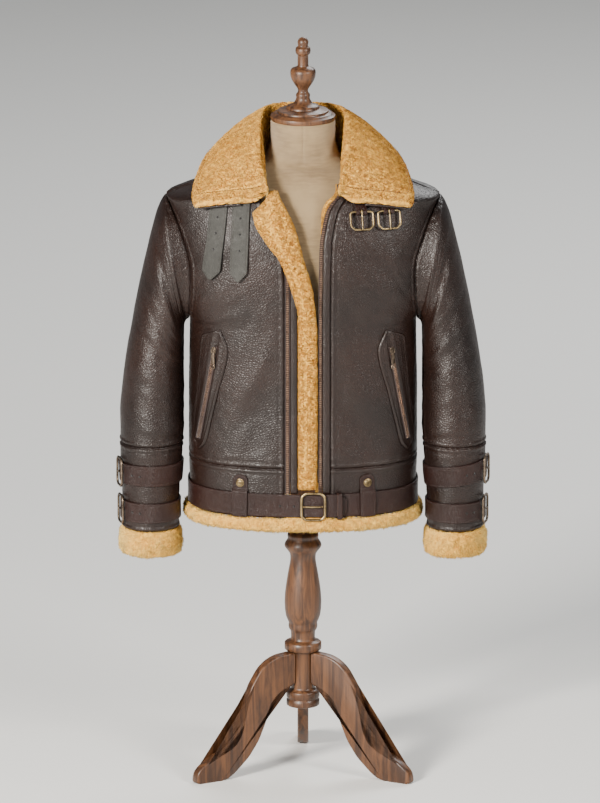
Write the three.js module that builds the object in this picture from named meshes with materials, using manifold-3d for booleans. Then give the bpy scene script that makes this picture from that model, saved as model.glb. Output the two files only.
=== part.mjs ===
// Shearling coat on a limbless dress form with a turned-wood tripod stand.
// Millimetres, +Z up, +X to the viewer's right, +Y to the back. The stand's axis is x = 0, y = 0 inside the
// group, and the group is moved so that the origin is the middle of the whole thing's base.
import * as THREE from 'three';
import { mergeVertices } from 'three/addons/utils/BufferGeometryUtils.js';
import Module from 'manifold-3d';

const wasm = await Module();
wasm.setup();

// Driving dimensions
const AXIS_Y = -37;            // the stand's axis, measured from the middle of the base
const SEAM = 0.3;              // gap between neighbouring pieces
const WALL = 5;                // shearling: leather with clipped wool inside
const LEATHER = 3;             // straps and belt
const BAND_SEAM_Z = 590;       // cross seam over the leather hem band
const BAND_LOW_Z = 500;        // lower edge of the leather hem band
const UNDERARM_Z = 840;
const SHOULDER_Z = 1066;       // shoulder point
const NECK_Z = 1134;           // side neck point and back neckline
const HEM_FUR = { low: 476, high: 499.6, out: 13, inn: 9 };
const BELT = { low: 503, high: 545, gap: 1.4 };
const SLEEVE_SEAM_Z = 617;     // double cross seam on the sleeve
const SLEEVE_END_Z = 460;
const CUFF_FUR = { low: 412, high: SLEEVE_END_Z - SEAM, out: 9, inn: 8 };

const COLOURS = {
  leather: [0x33211b, 0.5, 0], strap: [0x2a2422, 0.55, 0], fur: [0xd1a14a, 0.95, 0], linen: [0xc2ad8a, 0.9, 0],
  wood: [0x5a3220, 0.4, 0], brass: [0x8a6a3a, 0.4, 1], dark: [0x4a3a2c, 0.45, 1], tape: [0x3a1c18, 0.8, 0],
};

const coat = new THREE.Group();
coat.position.y = AXIS_Y;

function add(name, geometry, finish, parent = coat) {
  const [color, roughness, metalness] = COLOURS[finish];
  const mesh = new THREE.Mesh(geometry, new THREE.MeshStandardMaterial({ color, roughness, metalness }));
  mesh.name = name;
  parent.add(mesh);
  return mesh;
}

// Small mathematics
const V = (x, y, z) => new THREE.Vector3(x, y, z);
const lerp = THREE.MathUtils.lerp;
const clamp = THREE.MathUtils.clamp;
const ease = (t) => THREE.MathUtils.smoothstep(t, 0, 1);
const steps = (n, from, to) => Array.from({ length: n + 1 }, (unused, i) => lerp(from, to, i / n));

// Smooth value of a table's column at a height: rows are ordered by their first column, key.
function column(rows, key, at, name) {
  if (at <= rows[0][key]) return rows[0][name];
  const last = rows.length - 1;
  if (at >= rows[last][key]) return rows[last][name];
  let i = 0;
  while (at > rows[i + 1][key]) i += 1;
  const slope = (a, b) => (rows[b][name] - rows[a][name]) / (rows[b][key] - rows[a][key]);
  const d = slope(i, i + 1);
  const tangent = (a, b, c) => {
    const s = slope(a, b);
    const t = slope(b, c);
    return s * t <= 0 ? 0 : (2 * s * t) / (s + t);
  };
  const m0 = i > 0 ? tangent(i - 1, i, i + 1) : d;
  const m1 = i + 2 <= last ? tangent(i, i + 1, i + 2) : d;
  const h = rows[i + 1][key] - rows[i][key];
  const t = (at - rows[i][key]) / h;
  return rows[i][name] * (1 + 2 * t) * (1 - t) ** 2 + m0 * h * t * (1 - t) ** 2
    + rows[i + 1][name] * t * t * (3 - 2 * t) + m1 * h * t * t * (t - 1);
}
const table = (names, rows) => rows.map((row) => Object.fromEntries(names.map((name, i) => [name, row[i]])));

// A closed solid from triangles, turned so that its faces point out
function solidFrom(points, faces) {
  let volume = 0;
  for (const [a, b, c] of faces) {
    volume += points[a].dot(new THREE.Vector3().crossVectors(points[b], points[c]));
  }
  const order = volume > 0 ? faces : faces.map(([a, b, c]) => [a, c, b]);
  const geometry = new THREE.BufferGeometry();
  geometry.setAttribute('position', new THREE.Float32BufferAttribute(points.flatMap((p) => [p.x, p.y, p.z]), 3));
  geometry.setIndex(order.flat());
  return mergeVertices(geometry, 1e-4);
}

// A wall between two grids of points, closed round its rim. rows[i][j] and back[i][j] are Vector3.
function wall(rows, back, closed = false) {
  const nr = rows.length;
  const nc = rows[0].length;
  const points = [...rows.flat(), ...back.flat()];
  const at = (layer, i, j) => layer * nr * nc + i * nc + (j % nc);
  const faces = [];
  const quad = (a, b, c, d) => faces.push([a, b, c], [a, c, d]);
  const width = closed ? nc : nc - 1;
  for (let i = 0; i < nr - 1; i += 1) {
    for (let j = 0; j < width; j += 1) {
      quad(at(0, i, j), at(0, i, j + 1), at(0, i + 1, j + 1), at(0, i + 1, j));
      quad(at(1, i, j), at(1, i + 1, j), at(1, i + 1, j + 1), at(1, i, j + 1));
    }
  }
  for (let j = 0; j < width; j += 1) {
    quad(at(0, 0, j), at(1, 0, j), at(1, 0, j + 1), at(0, 0, j + 1));
    quad(at(0, nr - 1, j), at(0, nr - 1, j + 1), at(1, nr - 1, j + 1), at(1, nr - 1, j));
  }
  if (!closed) {
    for (let i = 0; i < nr - 1; i += 1) {
      quad(at(0, i, 0), at(0, i + 1, 0), at(1, i + 1, 0), at(1, i, 0));
      quad(at(0, i, nc - 1), at(1, i, nc - 1), at(1, i + 1, nc - 1), at(0, i + 1, nc - 1));
    }
  }
  return solidFrom(points, faces);
}

// A solid through closed sections. ring: the sections join end to end; otherwise both ends are capped.
function loft(sections, ring = false) {
  const n = sections[0].length;
  const m = sections.length;
  const points = sections.flat();
  const faces = [];
  for (let i = 0; i < (ring ? m : m - 1); i += 1) {
    for (let j = 0; j < n; j += 1) {
      const a = i * n + j;
      const b = i * n + ((j + 1) % n);
      const c = ((i + 1) % m) * n + ((j + 1) % n);
      const d = ((i + 1) % m) * n + j;
      faces.push([a, b, c], [a, c, d]);
    }
  }
  if (!ring) {
    for (const [row, flip] of [[0, true], [m - 1, false]]) {
      const centre = sections[row].reduce((sum, p) => sum.add(p), V(0, 0, 0)).divideScalar(n);
      points.push(centre);
      const c = points.length - 1;
      for (let j = 0; j < n; j += 1) {
        const a = row * n + j;
        const b = row * n + ((j + 1) % n);
        faces.push(flip ? [a, c, b] : [a, b, c]);
      }
    }
  }
  return solidFrom(points, faces);
}

// The coat's body is cut by level planes. half: half width at the panel's outer edge (side seam, armhole or
// shoulder seam); front, back: depth at the middle; fore, aft: the edge's y on the front and on the back.
const BODY = table(['z', 'half', 'front', 'back', 'fore', 'aft'], [
  [470, 207, 142, 136, 0, 0],
  [520, 203, 138, 131, 0, 0],
  [600, 205, 137, 131, 0, 0],
  [700, 205, 133, 127, 0, 0],
  [UNDERARM_Z, 203, 136, 131, 0, 0],
  [850, 203, 136, 132, -34, 38],
  [866, 202, 137, 133, -54, 60],
  [895, 200, 138, 134, -70, 76],
  [943, 200, 138, 134, -78, 86],
  [999, 214, 133, 131, -68, 78],
  [1044, 232, 121, 121, -38, 48],
  [1060, 241, 115, 116, -16, 22],
  [SHOULDER_Z, 245, 112, 113, 0, 0],
  [1090, 190, 101, 103, 0, 0],
  [1112, 136, 82, 90, 0, 0],
  [NECK_Z, 84, 50, 74, 0, 0],
]);
const SQUARENESS = 0.84;       // exponent of the level section: 1 would be an ellipse
const body = (z, name) => column(BODY, 'z', z, name);

// Soft folds of the leather: a ridge or trough along a short line on the front or back panel
const FOLDS = table(['face', 'x', 'z', 'lean', 'long', 'wide', 'deep'], [
  ['front', -120, 720, 35, 90, 22, 3.5], ['front', 128, 700, -40, 95, 24, 3.5],
  ['front', -170, 900, 60, 70, 20, 4.0], ['front', 172, 905, -62, 70, 20, 4.0],
  ['front', -90, 640, 12, 80, 18, -3.0], ['front', 100, 645, -15, 80, 18, -3.0],
  ['front', -150, 985, 48, 60, 18, 3.0], ['front', 150, 980, -50, 60, 18, 3.0],
  ['back', -110, 700, -32, 100, 26, 4.0], ['back', 105, 715, 30, 100, 26, 4.0],
  ['back', -165, 920, -64, 80, 22, 4.5], ['back', 165, 915, 62, 80, 22, 4.5],
  ['back', 0, 650, 3, 90, 26, -3.5], ['back', 30, 1000, 80, 90, 24, 3.0],
]);
function foldHeight(face, x, z) {
  let height = 0;
  for (const fold of FOLDS) {
    if (fold.face !== face) continue;
    const angle = THREE.MathUtils.degToRad(fold.lean);
    const along = (x - fold.x) * Math.sin(angle) + (z - fold.z) * Math.cos(angle);
    const across = (x - fold.x) * Math.cos(angle) - (z - fold.z) * Math.sin(angle);
    height += fold.deep * Math.exp(-((along / fold.long) ** 2) - (across / fold.wide) ** 2);
  }
  return height;
}

// A point of the body's surface. turn is 0 at the centre line and 1 at the panel's outer edge; side is -1 or 1.
function edgeAngle(face, z) {
  const depth = body(z, face);
  const edge = Math.abs(body(z, face === 'front' ? 'fore' : 'aft'));
  return Math.acos(clamp((edge / depth) ** (1 / SQUARENESS), 0, 1));
}
function atAngle(face, side, angle, z) {
  const widest = body(z, 'half') / Math.sin(edgeAngle(face, z)) ** SQUARENESS;
  const x = widest * Math.sin(angle) ** SQUARENESS;
  const y = body(z, face) * Math.max(Math.cos(angle), 0) ** SQUARENESS;
  return V(side * x, face === 'front' ? -y : y, z);
}
function angleAtX(face, x, z) {
  const widest = body(z, 'half') / Math.sin(edgeAngle(face, z)) ** SQUARENESS;
  return Math.asin(clamp(Math.abs(x) / widest, 0, 1) ** (1 / SQUARENESS));
}
function normalAt(face, side, angle, z) {
  const small = 0.02;
  const a0 = Math.max(angle - small, 0);
  const a1 = Math.min(angle + small, Math.PI / 2);
  const round = atAngle(face, side, a1, z).sub(atAngle(face, side, a0, z));
  const up = atAngle(face, side, angle, z + 3).sub(atAngle(face, side, angle, z - 3));
  const normal = new THREE.Vector3().crossVectors(round, up).normalize();
  const outward = V(side * Math.sin(angle), face === 'front' ? -Math.cos(angle) : Math.cos(angle), 0.2);
  return normal.dot(outward) < 0 ? normal.negate() : normal;
}
// Point moved out from the surface, folds included
function onBody(face, side, angle, z, out = 0) {
  const point = atAngle(face, side, angle, z);
  const fold = foldHeight(face, point.x, z) * Math.cos(angle) ** 0.5;
  return point.addScaledVector(normalAt(face, side, angle, z), out + fold);
}
const onFront = (x, z, out = 0) => onBody('front', x < 0 ? -1 : 1, angleAtX('front', x, z), z, out);
const frontNormal = (x, z) => normalAt('front', x < 0 ? -1 : 1, angleAtX('front', x, z), z);

// Inner edges of the two fronts, as |x| at a height: the V of the open neck, then the neckline
const FRONT_EDGE = {
  '-1': table(['z', 'x'], [[940, 33], [975, 36], [1005, 46], [1040, 60], [1066, 70], [1090, 78], [1112, 79],
    [NECK_Z, 76]]),
  1: table(['z', 'x'], [[900, 49], [1000, 51], [1022, 54], [1058, 62], [1075, 72], [1090, 84], [1112, 80],
    [NECK_Z, 76]]),
};
const PANEL_ROWS = [BAND_SEAM_Z + SEAM, 650, 710, 770, 815, UNDERARM_Z, 850, 866, 895, 935, 975, 1010, 1038, 1056,
  SHOULDER_Z, 1078, 1096, 1114, NECK_Z];
const FRONT_COLUMNS = 10;
const BACK_COLUMNS = 16;

function frontPanel(side, rows, columns) {
  const grid = (out) => rows.map((z) => {
    const inner = angleAtX('front', column(FRONT_EDGE[side], 'z', z, 'x'), z);
    const outer = edgeAngle('front', z);
    return steps(columns, 0, 1).map((s) => {
      const point = onBody('front', side, lerp(inner, outer, s), z, out);
      point.y = Math.min(point.y, -SEAM / 2);
      return point;
    });
  });
  return wall(grid(0), grid(-WALL));
}
function backPanel(rows, columns) {
  const grid = (out) => rows.map((z) => steps(columns, -1, 1).map((s) => {
    const point = onBody('back', s < 0 ? -1 : 1, Math.abs(s) * edgeAngle('back', z), z, out);
    point.y = Math.max(point.y, SEAM / 2);
    return point;
  }));
  return wall(grid(0), grid(-WALL));
}
const BAND_ROWS = [BAND_LOW_Z, 545, BAND_SEAM_Z];
add('front_left', frontPanel(-1, PANEL_ROWS, FRONT_COLUMNS), 'leather');
add('front_right', frontPanel(1, PANEL_ROWS, FRONT_COLUMNS), 'leather');
add('back', backPanel(PANEL_ROWS, BACK_COLUMNS), 'leather');
add('hem_band_left', frontPanel(-1, BAND_ROWS, 8), 'leather');
add('hem_band_right', frontPanel(1, BAND_ROWS, 8), 'leather');
add('hem_band_back', backPanel(BAND_ROWS, BACK_COLUMNS), 'leather');

// A strip that follows the front: edges are functions of the height, low and high are moves out
function frontStrip(zs, from, to, low, high, columns = 1) {
  const grid = (out) => zs.map((z) => steps(columns, from(z), to(z)).map((x) => onFront(x, z, out)));
  return wall(grid(high), grid(low));
}
const openEdge = (z) => column(FRONT_EDGE[1], 'z', z, 'x') - 21.3;
const RIGHT_ZS = [BELT.high, ...PANEL_ROWS.filter((z) => z <= 1078)];
const STRIP_ZS = RIGHT_ZS.filter((z) => z < 1000);
add('zip_left', frontStrip(STRIP_ZS, () => -32.7, () => -23, -3, 1), 'tape');
add('strip_left', frontStrip(STRIP_ZS, () => -22.7, () => -9.3, -4, 0.6), 'leather');
add('zip_right', frontStrip(RIGHT_ZS, (z) => openEdge(z), (z) => openEdge(z) + 7, -4, -0.5), 'tape');
add('strip_right', frontStrip(RIGHT_ZS, (z) => openEdge(z) + 7.3, (z) => openEdge(z) + 21, -4, 0.6), 'leather');

// Fur edge of the left front: a lapel on the chest that narrows to a placket above the belt
const LAPEL = table(['z', 'left', 'right', 'under', 'thick'], [
  [554, -8.6, 24, -4, 13], [700, -8.6, 25, -4, 13], [850, -8.6, 24, -4, 13], [872, -8.6, 22, 1.3, 10],
  [921, -20, 16, 1.3, 12], [973, -40, 1, 1.3, 14], [1005, -63, -8, 1.3, 15], [1040, -84, -20, 1.3, 16],
  [1056, -88, -27, 1.3, 14], [1066, -76, -32, 1.3, 11], [1076, -62, -40, 1.3, 8],
]);
const LAPEL_ZS = [554, 600, 660, 720, 780, 850, 872, 896, 921, 947, 973, 1005, 1024, 1040, 1056, 1066, 1076];
add('fur_placket', loft(LAPEL_ZS.map((z) => {
  const row = (name) => column(LAPEL, 'z', z, name);
  const shape = [[0, 0], [0.5, 0], [1, 0], [1.02, 0.5], [0.88, 0.92], [0.5, 1], [0.12, 0.92], [-0.02, 0.5]];
  return shape.map(([s, t]) => onFront(lerp(row('left') + 0.6, row('right'), s), z, row('under') + t * row('thick')));
})), 'fur');

// A ring all round the coat at a height, from the front and the back surface
function bodyRing(z, out, count) {
  return steps(count, 0, 1).slice(0, count).map((s) => {
    const turn = s * 4;
    const quarter = Math.floor(turn);
    const part = turn - quarter;
    const side = quarter < 2 ? 1 : -1;
    const face = quarter === 0 || quarter === 3 ? 'front' : 'back';
    const angle = (quarter % 2 === 0 ? part : 1 - part) * edgeAngle(face, z);
    return onBody(face, side, angle, z, out);
  });
}
// A fur roll with a round section: sections run round the ring
function furRoll(ring, { low, high, out, inn }, round = 8) {
  const middle = (low + high) / 2;
  const tall = (high - low) / 2;
  const layers = steps(round, 0, 2 * Math.PI).slice(0, round).map((a) => {
    const dz = tall * Math.sign(Math.sin(a)) * Math.abs(Math.sin(a)) ** 0.7;
    const reach = Math.sign(Math.cos(a)) * Math.abs(Math.cos(a)) ** 0.6;
    return ring(middle + dz, reach > 0 ? reach * out : reach * inn);
  });
  return loft(layers[0].map((unused, j) => layers.map((layer) => layer[j])), true);
}
add('fur_hem', furRoll((z, out) => bodyRing(z, out - 2, 40), HEM_FUR), 'fur');

// Armhole loop: shoulder point, down the front, underarm, up the back
const ARM_ZS = PANEL_ROWS.filter((z) => z >= UNDERARM_Z && z <= SHOULDER_Z);
const down = [...ARM_ZS].reverse();
const armLoop = (side) => [
  ...down.map((z) => onBody('front', side, edgeAngle('front', z), z)),
  ...ARM_ZS.slice(1, -1).map((z) => onBody('back', side, edgeAngle('back', z), z)),
];

// The sleeve hangs down from the armhole: each row is a level ring but for the cap, whose rings lean.
// outz, inz: heights of the outer and the inner side; outx, inx: their half widths; deep: half depth; y: middle
const SLEEVE = table(['t', 'outz', 'outx', 'inz', 'inx', 'deep', 'y'], [
  [0, 1066, 245, 840, 203, 82, 3],
  [1, 1058, 252, 836, 209, 84, 3],
  [2, 1036, 262, 826, 213, 84, 3],
  [3, 1000, 272, 812, 213.5, 83, 2],
  [4, 950, 284, 792, 214, 81, 0],
  [5, 885, 298, 765, 214, 79, -3],
  [6, 815, 311, 735, 214, 77, -8],
  [7, 740, 323, 695, 214, 74, -14],
  [8, 670, 329, 650, 214, 71, -19],
  [9, SLEEVE_SEAM_Z, 329, SLEEVE_SEAM_Z, 216, 67, -23],
  [10, 560, 327, 560, 220, 62, -25],
  [11, 500, 325, 500, 224, 58, -26],
  [12, SLEEVE_END_Z, 326, SLEEVE_END_Z, 223, 59, -27],
  [13, CUFF_FUR.low - 5, 326, CUFF_FUR.low - 5, 222, 60, -27],
]);
const SLEEVE_CREASES = table(['t', 'deep', 'wide', 'turn'], [
  [1.5, 3.0, 0.5, 0.6], [2.7, -3.0, 0.4, 1.4], [3.8, 3.5, 0.45, 2.4], [5.0, 3.0, 0.4, 4.4], [5.8, -3.5, 0.35, 3.6],
  [6.6, 3.5, 0.35, 0.4], [7.5, -3.0, 0.35, 5.2], [8.2, 2.5, 0.3, 1.8],
]);
const sleeveRow = (t, name) => column(SLEEVE, 't', t, name);
// Turn 0 is the outer side, a quarter turn is the front, half a turn faces the body
function sleevePoint(side, t, turn, out = 0) {
  const top = V(sleeveRow(t, 'outx'), 0, sleeveRow(t, 'outz'));
  const low = V(sleeveRow(t, 'inx'), 0, sleeveRow(t, 'inz'));
  const across = top.clone().sub(low).multiplyScalar(0.5);
  const half = across.length();
  let crease = 0;
  for (const fold of SLEEVE_CREASES) {
    const reach = 0.5 + 0.5 * Math.cos(turn - fold.turn);
    crease += fold.deep * Math.exp(-(((t - fold.t) / fold.wide) ** 2)) * reach * (1 - Math.exp(-turn * turn));
  }
  const outerSide = 0.5 + 0.5 * Math.cos(turn);
  const grow = out + crease * Math.max(outerSide, Math.abs(Math.sin(turn))) * (t > 0.5 ? 1 : 0);
  const deep = sleeveRow(t, 'deep');
  const point = top.add(low).multiplyScalar(0.5);
  point.addScaledVector(across, ((half + grow) / half) * Math.cos(turn));
  point.y = sleeveRow(t, 'y') - (deep + grow) * Math.sin(turn);
  point.x *= side;
  return point;
}
// Turns whose points on the first ring lie beside the armhole loop's own points
function loopTurns(loop, side) {
  const top = V(245 * side, 0, SHOULDER_Z);
  const low = V(203 * side, 0, UNDERARM_Z);
  const across = top.clone().sub(low);
  return loop.map((point) => {
    const along = point.clone().sub(low).dot(across) / across.lengthSq();
    const turn = Math.acos(clamp(2 * along - 1, -1, 1));
    return point.y > 1 ? 2 * Math.PI - turn : turn;
  });
}
function sleeveRings(side, ts, out) {
  const loop = armLoop(side);
  const turns = loopTurns(loop, side);
  const centre = V(side * 224, 3, 953);
  return ts.map((t) => turns.map((turn, i) => {
    const level = ease(clamp(t / 3, 0, 1));
    const even = (i / turns.length) * 2 * Math.PI;
    const ring = sleevePoint(side, t, lerp(turn, even, level), out);
    if (t >= 1) return ring;
    const inward = centre.clone().sub(loop[i]).setX(0).normalize();
    const seam = loop[i].clone().addScaledVector(inward, -out).add(V(side * SEAM, 0, 0));
    return seam.lerp(ring, ease(t));
  }));
}
const UPPER_TS = [0, 0.5, 1, 1.6, 2.2, 3, 4, 5, 5.7, 6.4, 7.1, 7.8, 8.4, 9 - 0.003];
const LOWER_TS = [9.003, 9.5, 10, 10.5, 11, 11.5, 12];
for (const [name, side] of [['left', -1], ['right', 1]]) {
  const sleeve = (ts) => wall(sleeveRings(side, ts, 0), sleeveRings(side, ts, -WALL), true);
  add(`sleeve_${name}`, sleeve(UPPER_TS), 'leather');
  add(`sleeve_lower_${name}`, sleeve(LOWER_TS), 'leather');
  const cuffT = (z) => 12 + (SLEEVE_END_Z - z) / (SLEEVE_END_Z - CUFF_FUR.low + 5);
  const ring = (z, out) => steps(20, 0, 2 * Math.PI).slice(0, 20)
    .map((turn) => sleevePoint(side, cuffT(z), turn, out - 3));
  add(`fur_cuff_${name}`, furRoll(ring, CUFF_FUR), 'fur');
}

// Collar: a band that stands on the neckline, folds over and falls outwards. For each station from the middle of
// the back to the front end: the neck seam (n), the fold (f) and the outer edge (o)
const COLLAR = table(['s', 'nx', 'ny', 'nz', 'fx', 'fy', 'fz', 'ox', 'oy', 'oz'], [
  [0, 0, 70, 1142, 0, 79, 1212, 0, 134, 1118],
  [1, 40, 62, 1142, 40, 72, 1212, 62, 130, 1120],
  [2, 68, 30, 1144, 68, 46, 1211, 132, 98, 1130],
  [3, 74, -4, 1144, 78, 10, 1201, 170, 36, 1126],
  [4, 72, -36, 1140, 80, -34, 1181, 190, -24, 1108],
  [5, 70, -68, 1124, 78, -76, 1146, 200, -78, 1080],
  [6, 66, -95, 1086, 64, -119, 1095, 197, -106, 1068],
]);
const FALL_THICK = 14;
const STAND_THICK = 9;
const UNDER_EDGE = 0.92;
const collarAt = (s, name) => column(COLLAR, 's', Math.abs(s), name);
function collarFrame(s) {
  const side = s < 0 ? -1 : 1;
  const read = (k) => V(side * collarAt(s, `${k}x`), collarAt(s, `${k}y`), collarAt(s, `${k}z`));
  const [neck, fold, outer] = ['n', 'f', 'o'].map(read);
  const foldAt = (t) => V(Math.sign(t) * collarAt(t, 'fx'), collarAt(t, 'fy'), 0);
  const edge = clamp(s, -5.9, 5.9);
  const ahead = foldAt(edge + 0.1).sub(foldAt(edge - 0.1)).normalize();
  const fall = outer.clone().sub(fold);
  const face = new THREE.Vector3().crossVectors(fall, ahead).normalize();
  if (face.z < 0) face.negate();
  return { neck, fold, outer, fall, face };
}
// Point of the fall: w from the fold (0) to the outer edge (1), moved out along its face
function onFall(s, w, out) {
  const { fold, fall, face } = collarFrame(s);
  const atEnd = ease(clamp(Math.abs(s) - 5, 0, 1));
  const crown = 9 * Math.sin(Math.PI * w) * (1 - 0.5 * atEnd);
  const dip = 10 * atEnd * Math.sin(Math.PI * Math.min(1, w * 1.1) ** 0.5);
  const point = fold.clone().addScaledVector(fall, w).addScaledVector(face, out + crown);
  point.z -= dip;
  return point;
}
function collarSection(s) {
  const { neck, fold, outer } = collarFrame(s);
  const half = FALL_THICK / 2;
  const stand = neck.clone().sub(fold);
  const inward = V(-Math.sign(s) * collarAt(s, 'fx'), -collarAt(s, 'fy'), 0).normalize();
  const crotch = Math.min(0.62, 26 / stand.length());
  const low = fold.clone().addScaledVector(stand, 1);
  const fallStart = 24 / outer.distanceTo(fold);
  return [
    low.clone().addScaledVector(inward, STAND_THICK / 2), fold.clone().lerp(low, 0.5).addScaledVector(inward, STAND_THICK / 2),
    fold.clone().addScaledVector(inward, half * 0.8), fold.clone().add(V(0, 0, half)),
    onFall(s, 0.1, half), onFall(s, 0.35, half), onFall(s, 0.65, half), onFall(s, 0.92, half * 0.9),
    onFall(s, 1, 0), onFall(s, UNDER_EDGE, -half), onFall(s, 0.6, -half), onFall(s, 0.36, -half),
    onFall(s, fallStart, -half),
    fold.clone().lerp(low, crotch).addScaledVector(inward, -STAND_THICK / 2),
    low.clone().addScaledVector(inward, -STAND_THICK / 2),
  ];
}
const COLLAR_STATIONS = steps(28, -6, 6);
add('collar', loft(COLLAR_STATIONS.map(collarSection)), 'fur');
const UNDER_GAP = FALL_THICK / 2 + SEAM;
const underGrid = (out) => COLLAR_STATIONS.map((s) => [UNDER_EDGE, 0.6, 0.36].map((w) => onFall(s, w, out)));
add('undercollar', wall(underGrid(-UNDER_GAP), underGrid(-UNDER_GAP - 2)), 'leather');

// Dress form: level sections from its flat base to the neck, then the turned cap
const FORM = table(['z', 'a', 'front', 'back'], [
  [560, 150, 104, 104], [620, 156, 110, 112], [700, 146, 104, 102], [800, 154, 112, 106], [900, 168, 122, 116],
  [980, 176, 120, 116], [1040, 186, 104, 104], [1083, 190, 80, 88], [1100, 150.5, 70, 84], [1116, 111, 60, 76],
  [1130, 74, 50, 64], [1150, 62, 56, 60], [1166, 58, 58, 58], [1203.7, 58, 58, 58],
]);
const FORM_ZS = [560, 620, 700, 800, 900, 980, 1040, 1083, 1100, 1116, 1130, 1150, 1166, 1203.7];
add('dress_form', loft(FORM_ZS.map((z) => steps(24, 0, 2 * Math.PI).slice(0, 24).map((turn) => {
  const power = z > 1140 ? 1 : SQUARENESS;
  const depth = column(FORM, 'z', z, Math.cos(turn) > 0 ? 'front' : 'back');
  const shape = (v) => Math.sign(v) * Math.abs(v) ** power;
  return V(column(FORM, 'z', z, 'a') * shape(Math.sin(turn)), -depth * shape(Math.cos(turn)), z);
}))), 'linen');
const turned = (profile, sides) => {
  const geometry = new THREE.LatheGeometry(profile.map(([r, z]) => new THREE.Vector2(r, z)), sides);
  geometry.rotateX(Math.PI / 2);
  geometry.deleteAttribute('normal');
  geometry.deleteAttribute('uv');
  return mergeVertices(geometry, 1e-4);
};
const CAP = [[0, 1204], [57.4, 1204], [58, 1212], [52, 1216], [46, 1217], [45.5, 1221], [30, 1224], [28.4, 1229],
  [20, 1232], [13, 1240], [12, 1246], [12, 1253], [9, 1256], [10.8, 1262], [20, 1276], [23, 1290], [21, 1296],
  [9.7, 1302], [9.7, 1322], [13.5, 1325], [13.5, 1335], [9, 1338], [9.8, 1346], [6, 1353], [0, 1354.7]];
add('neck_cap', turned(CAP, 20), 'wood');
const POST = [[0, 117], [29.9, 117], [29.9, 129], [28.4, 131], [29.9, 133], [29.9, 145], [21.6, 149], [21.6, 220],
  [33.3, 222], [33.3, 236], [22, 240], [21.6, 256], [25.7, 262], [25.7, 271], [31, 285], [33.3, 312], [31, 340],
  [22.9, 388], [23.5, 400], [33.5, 416], [27.4, 429], [27.4, 438], [22, 441], [22, 559.7], [0, 559.7]];
add('post', turned(POST, 20), 'wood');
const LEG_THICK = 20;
const LEG = [[22.4, 219], [27, 219.5], [56, 217], [76, 209], [92, 196], [112, 166], [124.7, 127], [133, 86],
  [143, 68], [156, 58], [189, 46], [212, 32], [224, 20], [226.6, 4], [224, 0], [170, 0], [158, 3], [145.5, 11], [116.4, 36.7],
  [96.6, 64], [83, 94], [70.7, 128], [60, 141], [46, 150.5], [31.5, 156], [22.4, 160]];
for (const [name, turn] of [['left', 210], ['right', 330], ['rear', 90]]) {
  const shape = new THREE.Shape(LEG.map(([r, z]) => new THREE.Vector2(r, z)));
  const geometry = new THREE.ExtrudeGeometry(shape, { depth: LEG_THICK, bevelEnabled: false });
  geometry.translate(0, 0, -LEG_THICK / 2);
  geometry.rotateX(Math.PI / 2);
  geometry.rotateZ(THREE.MathUtils.degToRad(turn));
  geometry.deleteAttribute('normal');
  geometry.deleteAttribute('uv');
  add(`leg_${name}`, mergeVertices(geometry, 1e-4), 'wood');
}

// Local frame on a surface: r runs level, u up along the surface, n out of it
function placeOn(origin, normal) {
  const n = normal.clone().normalize();
  const r = new THREE.Vector3().crossVectors(V(0, 0, 1), n).normalize();
  const u = new THREE.Vector3().crossVectors(n, r).normalize();
  const at = (a, b, c) => origin.clone().addScaledVector(r, a).addScaledVector(u, b).addScaledVector(n, c);
  return { at, r, u, n, origin };
}
const onChest = (x, z) => placeOn(onFront(x, z), frontNormal(x, z));
// Closed wire of round section through a frame's outline, given as [along, up] points in the local plane
function wireLoop(place, outline, out, radius, sides = 5) {
  const count = outline.length;
  return loft(outline.map(([a, b], i) => {
    const [pa, pb] = outline[(i + count - 1) % count];
    const [na, nb] = outline[(i + 1) % count];
    const across = new THREE.Vector2(nb - pb, pa - na).normalize();
    return steps(sides, 0, 2 * Math.PI).slice(0, sides).map((t) => place.at(
      a + across.x * radius * Math.cos(t), b + across.y * radius * Math.cos(t), out + radius * Math.sin(t)));
  }), true);
}
// Rectangle with cut corners, centred
const cutRectangle = (wide, high, cut) => {
  const [w, h] = [wide / 2, high / 2];
  return [[w, -h + cut], [w, h - cut], [w - cut, h], [-w + cut, h], [-w, h - cut], [-w, -h + cut], [-w + cut, -h],
    [w - cut, -h]];
};
// Rod through [along, up, out] points of a local frame that lie in one plane square to the r or the u axis
function rod(place, path, radius, level, sides = 6) {
  const points = path.map(([a, b, c]) => place.at(a, b, c));
  const side = level ? place.u : place.r;
  return loft(points.map((point, i) => {
    const ahead = points[Math.min(i + 1, points.length - 1)].clone().sub(points[Math.max(i - 1, 0)]).normalize();
    const other = new THREE.Vector3().crossVectors(ahead, side).normalize();
    return steps(sides, 0, 2 * Math.PI).slice(0, sides).map((t) => point.clone()
      .addScaledVector(side, radius * Math.cos(t)).addScaledVector(other, radius * Math.sin(t)));
  }));
}
// Plate with cut corners lying on a local frame
function plate(place, outline, low, high) {
  return loft([low, high].map((out) => outline.map(([a, b]) => place.at(a, b, out))));
}
// Notes the line that a piece turns on, as a point and a direction in the group
function hinge(mesh, place, up, out) {
  mesh.userData.hinge = { at: place.at(0, up, out), axis: place.r };
}
function dome(place, radius, high, low) {
  const rings = [[radius, 0], [radius * 0.92, high * 0.55], [radius * 0.5, high]];
  return loft(rings.map(([r, h]) => steps(12, 0, 2 * Math.PI).slice(0, 12)
    .map((t) => place.at(r * Math.cos(t), r * Math.sin(t), low + h))));
}

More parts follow.
